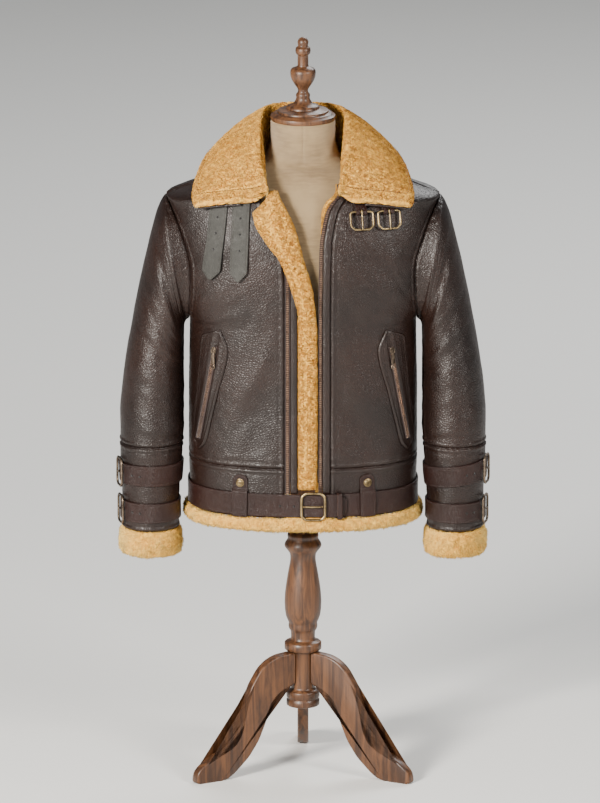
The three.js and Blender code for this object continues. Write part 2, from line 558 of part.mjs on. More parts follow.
// Pockets: a pointed welt, its zip, the slider and the hanging pull tab
const WELT = table(['z', 'near', 'far'], [[612, 185, 187.5], [628, 173.5, 196], [640, 170, 198], [722, 152, 191],
  [805, 134, 184], [823, 140, 181.5], [840, 148, 151]]);
const WELT_HIGH = 3.6;
const ZIP = { top: 809, low: 633, topX: 155, lowX: 185, half: 4 };
const zipX = (z) => lerp(ZIP.lowX, ZIP.topX, (z - ZIP.low) / (ZIP.top - ZIP.low));
const SLIDER_Z = 802;
const TAB = { long: 36, thick: 1.6, out: 9.6 };
for (const [name, side] of [['left', -1], ['right', 1]]) {
  const near = (z) => side * column(WELT, 'z', z, 'near');
  const far = (z) => side * column(WELT, 'z', z, 'far');
  add(`pocket_welt_${name}`, frontStrip([612, 628, 640, 695, 750, 805, 823, 840], near, far, 1.6, WELT_HIGH, 3), 'leather');
  const zipZs = [ZIP.low, 675, 720, 765, ZIP.top];
  add(`pocket_zip_${name}`, frontStrip(zipZs, (z) => side * (zipX(z) - ZIP.half), (z) => side * (zipX(z) + ZIP.half),
    WELT_HIGH + 0.4, WELT_HIGH + 1.8), 'tape');
  const place = onChest(side * zipX(SLIDER_Z), SLIDER_Z);
  const sliderLow = WELT_HIGH + 2.2;
  add(`pocket_slider_${name}`, plate(place, cutRectangle(9, 13, 2), sliderLow, sliderLow + 2.6), 'dark');
  const tab = [[-3, 3], [3, 3], [3.4, -8], [4, -TAB.long + 6], [2.4, -TAB.long + 2], [-2.4, -TAB.long + 2],
    [-4, -TAB.long + 6], [-3.4, -8]];
  const pull = plate(place, tab, TAB.out - TAB.thick / 2, TAB.out + TAB.thick / 2);
  hinge(add(`pocket_pull_${name}`, pull, 'dark'), place, 3, TAB.out);
}

// Collar straps with pointed ends, hanging from under the left wing of the collar
const STRAPS = table(['top', 'low'], [[-151, -164], [-111, -116]]);
const STRAP_ZS = [935, 950, 956, 975, 1010, 1038, 1056, 1066, 1076];
const STRAP_HALF = 16.5;
STRAPS.forEach((strap, i) => {
  const middle = (z) => lerp(strap.low, strap.top, (z - 935) / (1076 - 935));
  const half = (z) => (z < 940 ? 2 : z < 953 ? 14 : STRAP_HALF);
  const lift = (z) => 1 + 3.5 * ease((1030 - z) / 95);
  const grid = (out) => STRAP_ZS.map((z) => [-half(z), 0, half(z)].map((d) => onFront(middle(z) + d, z, lift(z) + out)));
  add(`collar_strap_${i + 1}`, wall(grid(LEATHER), grid(0)), 'strap');
});

// Collar buckles: a leather loop with a slot, the wire frame that hangs in it, and its prong
const solidOf = (geometry) => new wasm.Manifold(new wasm.Mesh({
  numProp: 3, vertProperties: geometry.attributes.position.array, triVerts: new Uint32Array(geometry.index.array),
}));
const geometryOf = (solid) => {
  const { vertProperties, triVerts } = solid.getMesh();
  const geometry = new THREE.BufferGeometry();
  geometry.setAttribute('position', new THREE.Float32BufferAttribute(vertProperties, 3));
  geometry.setIndex([...triVerts]);
  return geometry;
};
const BUCKLE = { z: 1058, out: 8, wide: 41, high: 32, wire: 1.9, prong: 1.3, loop: 20, slot: 5 };
[103.5, 151].forEach((x, i) => {
  const place = onChest(x, BUCKLE.z);
  const section = (points) => [-BUCKLE.loop / 2, BUCKLE.loop / 2].map((a) => points.map(([c, b]) => place.at(a, b, c)));
  const outside = [[0.4, 14], [0.4, 0], [2.8, -4.4], [7.8, -6.2], [11.8, -4.4], [13, 0], [10, 4.6], [4, 14]];
  const inside = [[3.2, 6], [3.2, 0], [4.6, -2.8], [7.8, -4], [10.2, -2.8], [11, 0], [9.6, 3.6], [6, 7]];
  const whole = solidOf(wall(section(outside), section(inside), true));
  const half = BUCKLE.slot / 2;
  const cutter = solidOf(loft([2.9, 20].map((c) => [[-half, -9], [half, -9], [half, 6.4], [-half, 6.4]]
    .map(([a, b]) => place.at(a, b, c)))));
  add(`collar_loop_${i + 1}`, geometryOf(whole.subtract(cutter)), 'leather');
  const [w, h, cut] = [BUCKLE.wide / 2, BUCKLE.high, 7];
  const frame = [[w, -h + cut], [w, -3], [w - 3, 0], [-w + 3, 0], [-w, -3], [-w, -h + cut], [-w + cut, -h],
    [w - cut, -h]];
  const wire = wireLoop(place, frame, BUCKLE.out, BUCKLE.wire, 6);
  hinge(add(`collar_buckle_${i + 1}`, wire, 'brass'), place, 0, BUCKLE.out);
  const eye = BUCKLE.wire + 0.4 + BUCKLE.prong;
  const turn = [-150, -200, -250, -300, -340].map((d) => THREE.MathUtils.degToRad(d));
  const path = turn.map((t) => [0, eye * Math.sin(t), BUCKLE.out + eye * Math.cos(t)]);
  path.push([0, -8, BUCKLE.out + eye + 1], [0, -22, BUCKLE.out + eye + 1.2], [0, -h - 2, BUCKLE.out + eye + 0.2]);
  hinge(add(`collar_prong_${i + 1}`, rod(place, path, BUCKLE.prong, false), 'brass'), place, 0, BUCKLE.out);
});

// A point all round the coat: turn counts quarters from the front's middle towards +X, past 4 for an overlap
function roundPoint(turn, z, out) {
  const wrapped = ((turn % 4) + 4) % 4;
  const quarter = Math.floor(wrapped);
  const part = wrapped - quarter;
  const side = quarter < 2 ? 1 : -1;
  const face = quarter === 0 || quarter === 3 ? 'front' : 'back';
  return onBody(face, side, (quarter % 2 === 0 ? part : 1 - part) * edgeAngle(face, z), z, out);
}
const frontTurn = (x, z) => angleAtX('front', x, z) / (Math.PI / 2) * Math.sign(x);

// Belt: starts under the buckle, goes round by the back and lies over its own start as the tail
const BELT_START = frontTurn(6, BELT.high);
const BELT_END = 4 + frontTurn(78, BELT.high);
const TAIL_LIFT = LEATHER + 0.9;
const beltLift = (turn) => BELT.gap + TAIL_LIFT * ease((turn - 3.86) / 0.13);
const beltTurns = steps(56, BELT_START, BELT_END);
const beltGrid = (out) => [BELT.low, (BELT.low + BELT.high) / 2, BELT.high]
  .map((z) => beltTurns.map((turn) => roundPoint(turn, z, beltLift(turn) + out)));
add('belt', wall(beltGrid(LEATHER), beltGrid(0)), 'leather');
const beltFace = BELT.gap + TAIL_LIFT + LEATHER;
const BELT_Z = (BELT.low + BELT.high) / 2;
const beltPlace = onChest(18, BELT_Z);
const BELT_WIRE = 2.4;
const buckleOut = beltFace + BELT_WIRE + 1;
add('belt_buckle', wireLoop(beltPlace, cutRectangle(42, 49, 7), buckleOut, BELT_WIRE, 6), 'brass');
add('belt_prong', rod(beltPlace, [[-18, 0, buckleOut], [-6, 0, buckleOut + 1.2], [8, 0, buckleOut + 1], [18, 0, buckleOut]],
  1.8, true), 'brass');
const keeperPlace = onChest(64, BELT_Z);
const keeperBand = (low, high, reach) => [-4.5, 4.5].map((a) => [[low, reach], [high, reach], [high, -reach],
  [low, -reach]].map(([c, b]) => keeperPlace.at(a, b, c)));
add('belt_keeper', wall(keeperBand(1.4, 15.6, 24.4), keeperBand(1.4, 14, 22.6)), 'leather');
for (const [name, x] of [['left', -112], ['right', 115]]) {
  const rows = table(['z', 'half', 'lift'], [[501, 13, 5.6], [524, 13.5, 5.6], [547, 13.5, 5.6], [553, 13.5, 0.8],
    [570, 13, 0.8], [576, 9, 0.8], [578, 4, 0.8]]);
  const grid = (out) => rows.map(({ z, half, lift }) => [-half, 0, half].map((d) => onFront(x + d, z, lift + out)));
  add(`belt_loop_${name}`, wall(grid(2.4), grid(0)), 'leather');
  add(`snap_${name}`, dome(onChest(x, 563), 7.5, 3.4, 0.8 + 2.4 + 0.5), 'brass');
}

// Cuff straps all round the lower sleeve, each with a wire buckle and prong on the outer side
const CUFF_STRAPS = table(['z', 'tilt'], [[564, 12], [496, 0]]);
const STRAP_HIGH = 37;
const sleeveT = (z) => {
  const rows = SLEEVE.filter(({ t }) => t >= 9);
  const i = Math.max(rows.findIndex((row) => row.outz <= z), 1);
  return rows[i].t - (z - rows[i].outz) / (rows[i - 1].outz - rows[i].outz);
};
const CUFF_WIRE = 2.2;
const CUFF_GAP = 1.3;
for (const [name, side] of [['left', -1], ['right', 1]]) {
  CUFF_STRAPS.forEach(({ z, tilt }, i) => {
    const lean = side > 0 ? tilt : 0;
    const turns = steps(20, 0, 2 * Math.PI).slice(0, 20);
    const at = (high, turn) => sleeveT(z + high + lean * 0.5 * Math.cos(turn));
    const grid = (out) => [-0.5, 0.5].map((h) => turns.map((turn) => sleevePoint(side, at(h * STRAP_HIGH, turn), turn, out)));
    add(`cuff_strap_${name}_${i + 1}`, wall(grid(LEATHER + CUFF_GAP), grid(CUFF_GAP), true), 'leather');
    const turn = 0.3;
    const origin = sleevePoint(side, at(0, turn), turn, LEATHER + CUFF_GAP);
    const normal = V(side * Math.cos(turn * 0.8), -Math.sin(turn * 0.8), 0);
    const place = placeOn(origin, normal);
    const wireOut = CUFF_WIRE - 0.9;
    const prongOut = wireOut + 1.2;
    const frame = solidOf(wireLoop(place, cutRectangle(34, 50, 6), wireOut, CUFF_WIRE));
    const prong = solidOf(rod(place, [[-17, 0, wireOut], [-6, 0, prongOut], [6, 0, prongOut], [17, 0, wireOut]],
      1.6, true, 5));
    add(`cuff_buckle_${name}_${i + 1}`, geometryOf(frame.add(prong)), 'dark');
  });
}

export default coat;
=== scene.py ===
"""Looks of a shearling jacket on a linen dress form with a turned-wood tripod stand.

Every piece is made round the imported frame's own nodes, in metres, +Z up and +X to the viewer's right.
"""

import logging
import math
from dataclasses import dataclass, replace
from enum import Enum
from typing import Callable, Iterable, Sequence

import bmesh
import bpy
import numpy as np
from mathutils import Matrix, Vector


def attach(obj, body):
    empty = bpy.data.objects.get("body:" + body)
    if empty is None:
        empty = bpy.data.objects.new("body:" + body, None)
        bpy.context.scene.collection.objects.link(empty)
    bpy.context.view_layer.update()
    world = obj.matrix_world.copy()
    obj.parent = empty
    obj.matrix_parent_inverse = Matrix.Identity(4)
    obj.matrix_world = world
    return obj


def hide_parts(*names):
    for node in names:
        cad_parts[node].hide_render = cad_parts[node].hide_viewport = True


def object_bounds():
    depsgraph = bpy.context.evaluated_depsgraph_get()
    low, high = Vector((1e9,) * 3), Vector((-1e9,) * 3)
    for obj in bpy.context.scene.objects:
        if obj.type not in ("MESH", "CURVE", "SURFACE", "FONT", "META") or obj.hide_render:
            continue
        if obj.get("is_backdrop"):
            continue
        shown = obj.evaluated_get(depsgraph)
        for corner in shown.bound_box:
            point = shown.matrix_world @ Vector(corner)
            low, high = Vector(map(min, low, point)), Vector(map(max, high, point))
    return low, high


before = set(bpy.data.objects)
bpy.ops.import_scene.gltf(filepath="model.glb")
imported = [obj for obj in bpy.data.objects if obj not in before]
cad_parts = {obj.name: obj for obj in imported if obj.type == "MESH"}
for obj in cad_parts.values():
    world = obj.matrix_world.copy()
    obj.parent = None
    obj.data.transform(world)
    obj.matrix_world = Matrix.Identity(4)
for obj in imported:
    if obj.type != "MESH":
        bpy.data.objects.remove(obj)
CAD_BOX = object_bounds()
LOG = logging.getLogger("jacket")

AXIS_Y = -0.037                # the stand's axis in the frame
RNG_SEED = 41
ROOT = "root"
FULL_TURN = 2 * math.pi

Array = np.ndarray
Colour = tuple[float, float, float]
Point = tuple[float, float, float]
Material = bpy.types.Material
Node = bpy.types.Node
Piece = bpy.types.Object
Socket = bpy.types.NodeSocket
Tree = bpy.types.NodeTree


class Effect(Enum):
    """Shader effects that several materials share, each one node group."""

    GRAIN = "pebble_grain"
    WEAR = "edge_wear"
    MOTTLE = "colour_mottle"
    THREADS = "woven_threads"


def feed(tree: Tree, value: object, socket: Socket) -> None:
    """Link a socket to another, or give it a plain value."""
    if isinstance(value, Socket):
        tree.links.new(value, socket)
    else:
        socket.default_value = value


def node(tree: Tree, kind: str, **values: object) -> Node:
    """Add a node.

    Args:
        tree: where it goes.
        kind: its type.
        values: its properties, and what feeds its inputs, with _ for a space in the input's name.

    Returns:
        The node.
    """
    made = tree.nodes.new(kind)
    for name, value in values.items():
        if hasattr(made, name):
            setattr(made, name, value)
        else:
            feed(tree, value, made.inputs[name.replace("_", " ")])
    return made


def maths(tree: Tree, operation: str, a: object, b: object, clamp: bool = False) -> Socket:
    """Add a Math node and return its output; a and b are sockets or numbers."""
    made = node(tree, "ShaderNodeMath", operation=operation, use_clamp=clamp)
    feed(tree, a, made.inputs[0])
    feed(tree, b, made.inputs[1])
    return made.outputs[0]


def ramp(tree: Tree, value: Socket, low: object, high: object) -> Socket:
    """Map low..high to 0..1, smoothly, and return the output."""
    made = node(tree, "ShaderNodeMapRange", interpolation_type="SMOOTHSTEP", Value=value, From_Min=low, From_Max=high)
    return made.outputs["Result"]


def noise(tree: Tree, place: Socket, **values: object) -> Socket:
    """Add a noise texture and return its value."""
    return node(tree, "ShaderNodeTexNoise", Vector=place, **values).outputs["Fac"]


def new_group(effect: Effect, inputs: dict[str, float], *outputs: str) -> tuple[Tree, Socket, Node, Node]:
    """Make a node group with numbers in and out.

    Args:
        effect: which effect the group holds.
        inputs: name and first value of each number that goes in.
        outputs: name of each result.

    Returns:
        The group, the object's own coordinates, and the nodes that hold what goes in and out.
    """
    tree = bpy.data.node_groups.new(effect.value, "ShaderNodeTree")
    for name, value in inputs.items():
        tree.interface.new_socket(name=name, in_out="INPUT", socket_type="NodeSocketFloat").default_value = value
    for name in outputs:
        tree.interface.new_socket(name=name, in_out="OUTPUT", socket_type="NodeSocketFloat")
    place = node(tree, "ShaderNodeTexCoord").outputs["Object"]
    return tree, place, node(tree, "NodeGroupInput"), node(tree, "NodeGroupOutput")


def build_grain() -> Tree:
    """Pebbles of leather: cells split by fine creases, of uneven size. Gives Height and Crease, the mask for the
    painted shade in the creases.
    """
    tree, place, given, out = new_group(Effect.GRAIN, {"Scale": 400.0, "Unevenness": 0.6}, "Height", "Crease")
    warp = node(tree, "ShaderNodeTexNoise", Vector=place, Scale=60.0, Detail=2.0)
    mixed = node(tree, "ShaderNodeVectorMath", operation="MULTIPLY_ADD")
    for socket, value in zip(mixed.inputs, (warp.outputs["Color"], (0.004, 0.004, 0.004), place)):
        feed(tree, value, socket)
    cells = node(tree, "ShaderNodeTexVoronoi", feature="DISTANCE_TO_EDGE", Vector=mixed.outputs[0],
                 Scale=given.outputs["Scale"])
    crease = ramp(tree, cells.outputs["Distance"], 0.0, 0.3)
    broad = noise(tree, place, Scale=110.0, Detail=3.0, Roughness=0.55)
    uneven = maths(tree, "MULTIPLY", broad, given.outputs["Unevenness"])
    feed(tree, maths(tree, "ADD", crease, uneven), out.inputs["Height"])
    feed(tree, maths(tree, "SUBTRACT", 1.0, crease), out.inputs["Crease"])
    return tree


def build_wear() -> Tree:
    """Rubbed edges: where the surface stands out, broken up by noise. Gives Mask."""
    tree, place, given, out = new_group(Effect.WEAR, {"Low": 0.515, "High": 0.56, "Scale": 90.0}, "Mask")
    pointed = node(tree, "ShaderNodeNewGeometry").outputs["Pointiness"]
    span = ramp(tree, pointed, given.outputs["Low"], given.outputs["High"])
    rough = noise(tree, place, Detail=4.0, Roughness=0.7, Scale=given.outputs["Scale"])
    feed(tree, maths(tree, "MULTIPLY", span, ramp(tree, rough, 0.38, 0.62), True), out.inputs["Mask"])
    return tree


def build_mottle() -> Tree:
    """Slow and quick colour change over a surface. Gives Broad and Fine, both 0 to 1."""
    tree, place, given, out = new_group(Effect.MOTTLE, {"Broad Scale": 9.0, "Fine Scale": 120.0}, "Broad", "Fine")
    for name, detail in (("Broad", 3.0), ("Fine", 6.0)):
        cloud = noise(tree, place, Detail=detail, Roughness=0.6, Scale=given.outputs[f"{name} Scale"])
        feed(tree, ramp(tree, cloud, 0.3, 0.7), out.inputs[name])
    return tree


def build_threads() -> Tree:
    """Plain weave: level and upright threads crossing. Gives Height and Slub."""
    tree, place, given, out = new_group(Effect.THREADS, {"Scale": 900.0}, "Height", "Slub")
    level, upright = (node(tree, "ShaderNodeTexWave", bands_direction=direction, Vector=place, Distortion=1.4,
                           Detail=2.0, Detail_Scale=3.0, Scale=given.outputs["Scale"]).outputs["Fac"]
                      for direction in "XZ")
    feed(tree, maths(tree, "ADD", level, upright), out.inputs["Height"])
    stretch = node(tree, "ShaderNodeMapping", Vector=place, Scale=(0.15, 0.15, 1.0))
    feed(tree, noise(tree, stretch.outputs[0], Scale=260.0, Detail=3.0), out.inputs["Slub"])
    return tree


GROUPS: dict[Effect, Tree] = {
    Effect.GRAIN: build_grain(), Effect.WEAR: build_wear(), Effect.MOTTLE: build_mottle(),
    Effect.THREADS: build_threads(),
}


class Shade:
    """A material under construction: one Principled shader and the nodes that feed it."""

    def __init__(self, name: str, **values: object) -> None:
        """Start a material.

        Args:
            name: the material's name.
            values: numbers for the shader's own sockets, with _ for a space.
        """
        self.material = bpy.data.materials.new(name)
        self.material.use_nodes = True
        self.tree = self.material.node_tree
        self.shader = self.tree.nodes["Principled BSDF"]
        for socket, value in values.items():
            self.shader.inputs[socket.replace("_", " ")].default_value = value

    def effect(self, effect: Effect, **values: float) -> Sequence[Socket]:
        """Place a shared group with its own values, and return its outputs."""
        made = node(self.tree, "ShaderNodeGroup", node_tree=GROUPS[effect])
        for name, value in values.items():
            made.inputs[name.replace("_", " ")].default_value = value
        return made.outputs

    def less(self, mask: Socket, share: float) -> Socket:
        """Return a share of a mask."""
        return maths(self.tree, "MULTIPLY", mask, share)

    def mix(self, mask: Socket, a: object, b: object) -> Socket:
        """Mix two colours, each a tuple or a socket, by a mask, and return the output."""
        made = node(self.tree, "ShaderNodeMix", data_type="RGBA")
        feed(self.tree, mask, made.inputs["Factor"])
        for name, value in (("A", a), ("B", b)):
            socket = next(s for s in made.inputs if s.name == name and s.type == "RGBA")
            feed(self.tree, value if isinstance(value, Socket) else (*value, 1.0), socket)
        return next(s for s in made.outputs if s.type == "RGBA")

    def finish(self, colour: Socket, rough: tuple[Socket, float, float] | None, height: Socket, distance: float,
               strength: float) -> Material:
        """Feed the shader and return the material.

        Args:
            colour: the base colour.
            rough: a mask, and the roughness at 0 and at 1; None for an even roughness.
            height: what the bump follows.
            distance: the bump's depth in metres.
            strength: the bump's strength.

        Returns:
            The material.
        """
        feed(self.tree, colour, self.shader.inputs["Base Color"])
        if rough:
            span = node(self.tree, "ShaderNodeMapRange", Value=rough[0], To_Min=rough[1], To_Max=rough[2])
            feed(self.tree, span.outputs["Result"], self.shader.inputs["Roughness"])
        bump = node(self.tree, "ShaderNodeBump", Height=height, Distance=distance, Strength=strength)
        feed(self.tree, bump.outputs["Normal"], self.shader.inputs["Normal"])
        return self.material


@dataclass(frozen=True)
class LeatherFinish:
    """Pebbled or smooth leather: painted shade darkens the grain's creases, and it is rubbed lighter where it stands
    out.
    """

    name: str
    dark: Colour
    light: Colour
    rubbed: Colour
    grain: float = 240.0
    depth: float = 0.0003
    gloss: tuple[float, float] = (0.37, 0.48)
    shine: float = 0.44
    # The colour of the painted shade in the grain's creases
    crease: Colour = (0.004, 0.002, 0.0015)

    def build(self) -> Material:
        """Return the leather material."""
        shade = Shade(self.name, Roughness=self.gloss[0], Specular_IOR_Level=self.shine)
        mottle = shade.effect(Effect.MOTTLE, Broad_Scale=7.0, Fine_Scale=150.0)
        grain = shade.effect(Effect.GRAIN, Scale=self.grain, Unevenness=0.8)
        wear = shade.effect(Effect.WEAR, Low=0.54, High=0.62)
        body = shade.mix(mottle["Broad"], self.dark, self.light)
        fine = shade.mix(shade.less(mottle["Fine"], 0.4), body, self.dark)
        # Painted shade: the grain's creases darkened towards the crease colour
        painted_crease_shade = shade.mix(shade.less(grain["Crease"], 0.45), fine, self.crease)
        colour = shade.mix(shade.less(wear["Mask"], 0.5), painted_crease_shade, self.rubbed)
        return shade.finish(colour, (mottle["Fine"], *self.gloss), grain["Height"], self.depth, 1.0)


@dataclass(frozen=True)
class WoolFinish:
    """Golden clipped wool: deeper at the roots as painted shade, pale at the tips as a painted highlight, uneven over
    the skin.
    """

    name: str
    # root: painted shade deep in the pile; tip: painted highlight at the tufts' points
    root: Colour
    middle: Colour
    tip: Colour

    def build(self) -> Material:
        """Return the wool material."""
        shade = Shade(self.name, Roughness=0.85, Metallic=0.0, Sheen_Weight=0.12, Sheen_Roughness=0.5,
                      Sheen_Tint=(1.0, 0.86, 0.6, 1.0))
        mottle = shade.effect(Effect.MOTTLE, Broad_Scale=16.0, Fine_Scale=140.0)
        # The tip attribute runs from a tuft's foot to its point: dark roots as painted shade, pale tips as painted
        # highlight
        tips = node(shade.tree, "ShaderNodeAttribute", attribute_name="tip").outputs["Fac"]
        low = shade.mix(mottle["Fine"], self.root, self.middle)
        high = shade.mix(mottle["Broad"], self.middle, self.tip)
        return shade.finish(shade.mix(tips, low, high), None, mottle["Fine"], 0.001, 0.7)


@dataclass(frozen=True)
class MetalFinish:
    """Aged metal: bright where rubbed, dark and dull in the hollows."""

    name: str
    bright: Colour
    tarnish: Colour
    gloss: tuple[float, float] = (0.28, 0.55)

    def build(self) -> Material:
        """Return the metal material."""
        shade = Shade(self.name, Roughness=self.gloss[0], Metallic=1.0)
        mottle = shade.effect(Effect.MOTTLE, Broad_Scale=60.0, Fine_Scale=500.0)
        wear = shade.effect(Effect.WEAR, Low=0.5, High=0.58, Scale=300.0)
        aged = shade.mix(mottle["Broad"], self.tarnish, self.bright)
        return shade.finish(shade.mix(wear["Mask"], aged, self.bright), (mottle["Fine"], *self.gloss), mottle["Fine"],
                            0.0001, 0.5)


@dataclass(frozen=True)
class ClothFinish:
    """Woven cloth, for the form's linen, the zip tape and the thread."""

    name: str
    dark: Colour
    light: Colour
    threads: float = 900.0
    depth: float = 0.0003

    def build(self) -> Material:
        """Return the cloth material."""
        shade = Shade(self.name, Roughness=0.88, Sheen_Weight=0.15)
        weave = shade.effect(Effect.THREADS, Scale=self.threads)
        mottle = shade.effect(Effect.MOTTLE, Broad_Scale=12.0, Fine_Scale=320.0)
        base = shade.mix(mottle["Broad"], self.dark, self.light)
        slubs = ramp(shade.tree, weave["Slub"], 0.35, 0.7)
        return shade.finish(shade.mix(shade.less(slubs, 0.6), base, self.light), None, weave["Height"], self.depth,
                            0.7)


@dataclass(frozen=True)
class WoodFinish:
    """Varnished walnut: long grain that runs along the piece, with dark pores."""

    name: str
    dark: Colour
    light: Colour
    pore: Colour = (0.02, 0.008, 0.004)
    stretch: Point = (1.0, 1.0, 0.08)

    def build(self) -> Material:
        """Return the wood material."""
        shade = Shade(self.name, Roughness=0.3, Coat_Weight=0.12, Coat_Roughness=0.22)
        tree = shade.tree
        place = node(tree, "ShaderNodeTexCoord").outputs["Object"]
        along = node(tree, "ShaderNodeMapping", Vector=place, Scale=self.stretch).outputs[0]
        pores = noise(tree, along, Scale=420.0, Detail=3.0, Roughness=0.7)
        bands = ramp(tree, noise(tree, along, Scale=70.0, Detail=6.0, Roughness=0.6, Distortion=1.2), 0.36, 0.66)
        wear = shade.effect(Effect.WEAR, Low=0.53, High=0.62, Scale=60.0)
        base = shade.mix(bands, self.dark, self.light)
        dotted = shade.mix(shade.less(ramp(tree, pores, 0.6, 0.72), 0.4), base, self.pore)
        rubbed = tuple(min(1.0, 1.9 * c) for c in self.light)
        return shade.finish(shade.mix(shade.less(wear["Mask"], 0.5), dotted, rubbed), (bands, 0.4, 0.54), pores,
                            0.0002, 0.4)


class Finish(Enum):
    """The record's material slots."""

    LEATHER = "leather"
    BELT = "belt_leather"
    STRAP = "strap_leather"
    WOOL = "shearling"
    TAPE = "zip_tape"
    DARK_METAL = "dark_metal"
    BRASS = "antique_brass"
    LINEN = "linen"
    WOOD = "turned_wood"


MATERIALS: dict[Finish, Material] = {
    Finish.LEATHER: LeatherFinish("pebbled_leather", (0.008, 0.003, 0.0018), (0.021, 0.0078, 0.0046),
                                  (0.09, 0.034, 0.02)).build(),
    Finish.BELT: LeatherFinish("belt_leather", (0.015, 0.0044, 0.003), (0.03, 0.009, 0.006), (0.11, 0.042, 0.025),
                               grain=600.0, depth=0.0003, gloss=(0.34, 0.48), shine=0.34).build(),
    Finish.STRAP: LeatherFinish("strap_leather", (0.038, 0.038, 0.034), (0.06, 0.06, 0.054), (0.1, 0.098, 0.09),
                                grain=600.0, depth=0.0002, gloss=(0.5, 0.7), shine=0.36).build(),
    # Wool root, middle and tip: painted shade at the roots, painted highlight at the tips
    Finish.WOOL: WoolFinish("golden_wool", (0.48, 0.21, 0.022), (0.83, 0.475, 0.072), (1.0, 0.75, 0.22)).build(),
    Finish.TAPE: ClothFinish("zip_tape", (0.018, 0.009, 0.008), (0.04, 0.018, 0.015), 1600.0).build(),
    Finish.DARK_METAL: MetalFinish("dark_aged_metal", (0.23, 0.175, 0.13), (0.03, 0.022, 0.016)).build(),
    Finish.BRASS: MetalFinish("antique_brass", (0.42, 0.31, 0.16), (0.06, 0.04, 0.021)).build(),
    Finish.LINEN: ClothFinish("form_linen", (0.26, 0.17, 0.082), (0.45, 0.315, 0.165), 420.0, 0.0009).build(),
    Finish.WOOD: WoodFinish("walnut", (0.036, 0.0135, 0.005), (0.13, 0.052, 0.018)).build(),
}
THREAD = ClothFinish("thread", (0.018, 0.009, 0.006), (0.05, 0.026, 0.016), 3000.0).build()
# Near-black for the punched holes: painted shade in place of an open hole
HOLE_SHADE = ClothFinish("painted_hole_shade", (0.001, 0.0008, 0.0006), (0.003, 0.002, 0.0015)).build()
WOOL_THREAD = ClothFinish("wool_thread", (0.13, 0.045, 0.008), (0.22, 0.085, 0.016), 3000.0).build()
COPPER = MetalFinish("copper_teeth", (0.4, 0.26, 0.18), (0.07, 0.038, 0.026)).build()


# Surfaces of the frame's cloth, in millimetres with the stand's axis at x = 0, y = 0
class Table:
    """Rows of sizes, read smoothly and without overshoot at any value of the first column."""

    def __init__(self, names: str, rows: Sequence[Sequence[float]]) -> None:
        """Store the rows and each column's slopes.

        Args:
            names: the columns' names, split by spaces; the first is the key.
            rows: the rows, ordered by their key.
        """
        values = np.array(rows, dtype=float)
        self.keys = values[:, 0]
        self.columns = {name: values[:, i] for i, name in enumerate(names.split())}
        self.slopes = {name: self._slopes(column) for name, column in self.columns.items()}

    def _slopes(self, column: Array) -> Array:
        """Return a slope at each row: the harmonic mean of both sides, or none at a turning point."""
        steps = np.diff(column) / np.diff(self.keys)
        slopes = np.empty(len(column))
        slopes[0], slopes[-1] = steps[0], steps[-1]
        a, b = steps[:-1], steps[1:]
        total = np.where(a + b == 0, 1.0, a + b)
        slopes[1:-1] = np.where(a * b <= 0, 0.0, 2 * a * b / total)
        return slopes

    def read(self, name: str, at: object) -> Array:
        """Return a column's value at a key or an array of keys, held level past the ends."""
        x = np.clip(np.asarray(at, dtype=float), self.keys[0], self.keys[-1])
        i = np.clip(np.searchsorted(self.keys, x, side="right") - 1, 0, len(self.keys) - 2)
        wide = self.keys[i + 1] - self.keys[i]
        t = (x - self.keys[i]) / wide
        column, slopes = self.columns[name], self.slopes[name]
        return (column[i] * (1 + 2 * t) * (1 - t) ** 2 + slopes[i] * wide * t * (1 - t) ** 2
                + column[i + 1] * t * t * (3 - 2 * t) + slopes[i + 1] * wide * t * t * (t - 1))


def lerp(a: object, b: object, t: object) -> object:
    """Return the value a share t of the way from a to b."""
    return a + (b - a) * t


def ease(t: object) -> Array:
    """Return a smooth step of t from 0 to 1."""
    t = np.clip(t, 0.0, 1.0)
    return t * t * (3 - 2 * t)


def bell(x: object, wide: float) -> Array:
    """Return a smooth hump of height 1 and half width wide at x = 0."""
    return np.exp(-(np.asarray(x) / wide) ** 2)


def unit(vectors: Array) -> Array:
    """Return vectors scaled to length 1."""
    length = np.linalg.norm(vectors, axis=-1, keepdims=True)
    return vectors / np.where(length == 0, 1.0, length)


def circle(number: int) -> Array:
    """Return this many even angles round a full turn."""
    return np.linspace(0, FULL_TURN, number + 1)[:-1]


def metres(points: Array) -> Array:
    """Move millimetre points into the frame, in metres."""
    return np.asarray(points, dtype=float) * 0.001 + np.array((0.0, AXIS_Y, 0.0))


class Face(Enum):
    """The two faces of the body."""

    FRONT = "front"
    BACK = "back"


SEAM = 0.3
WALL = 5.0
LEATHER = 3.0
BAND_SEAM_Z = 590.0
BAND_LOW_Z = 500.0
UNDERARM_Z = 840.0
SHOULDER_Z = 1066.0
NECK_Z = 1134.0
SQUARENESS = 0.84

BODY = Table("z half front back fore aft", (
    (470, 207, 142, 136, 0, 0), (520, 203, 138, 131, 0, 0), (600, 205, 137, 131, 0, 0), (700, 205, 133, 127, 0, 0),
    (840, 203, 136, 131, 0, 0), (850, 203, 136, 132, -34, 38), (866, 202, 137, 133, -54, 60),
    (895, 200, 138, 134, -70, 76), (943, 200, 138, 134, -78, 86), (999, 214, 133, 131, -68, 78),
    (1044, 232, 121, 121, -38, 48), (1060, 241, 115, 116, -16, 22), (1066, 245, 112, 113, 0, 0),
    (1090, 190, 101, 103, 0, 0), (1112, 136, 82, 90, 0, 0), (1134, 84, 50, 74, 0, 0),
))


@dataclass(frozen=True)
class Fold:
    """A soft ridge, or a trough where deep is below 0, along a short line on one face."""

    face: Face
    x: float
    z: float
    lean: float
    long: float
    wide: float
    deep: float

    def height(self, x: Array, z: Array) -> Array:
        """Return how far the fold lifts the surface at x, z."""
        angle = math.radians(self.lean)
        along = (x - self.x) * math.sin(angle) + (z - self.z) * math.cos(angle)
        across = (x - self.x) * math.cos(angle) - (z - self.z) * math.sin(angle)
        return self.deep * np.exp(-(along / self.long) ** 2 - (across / self.wide) ** 2)


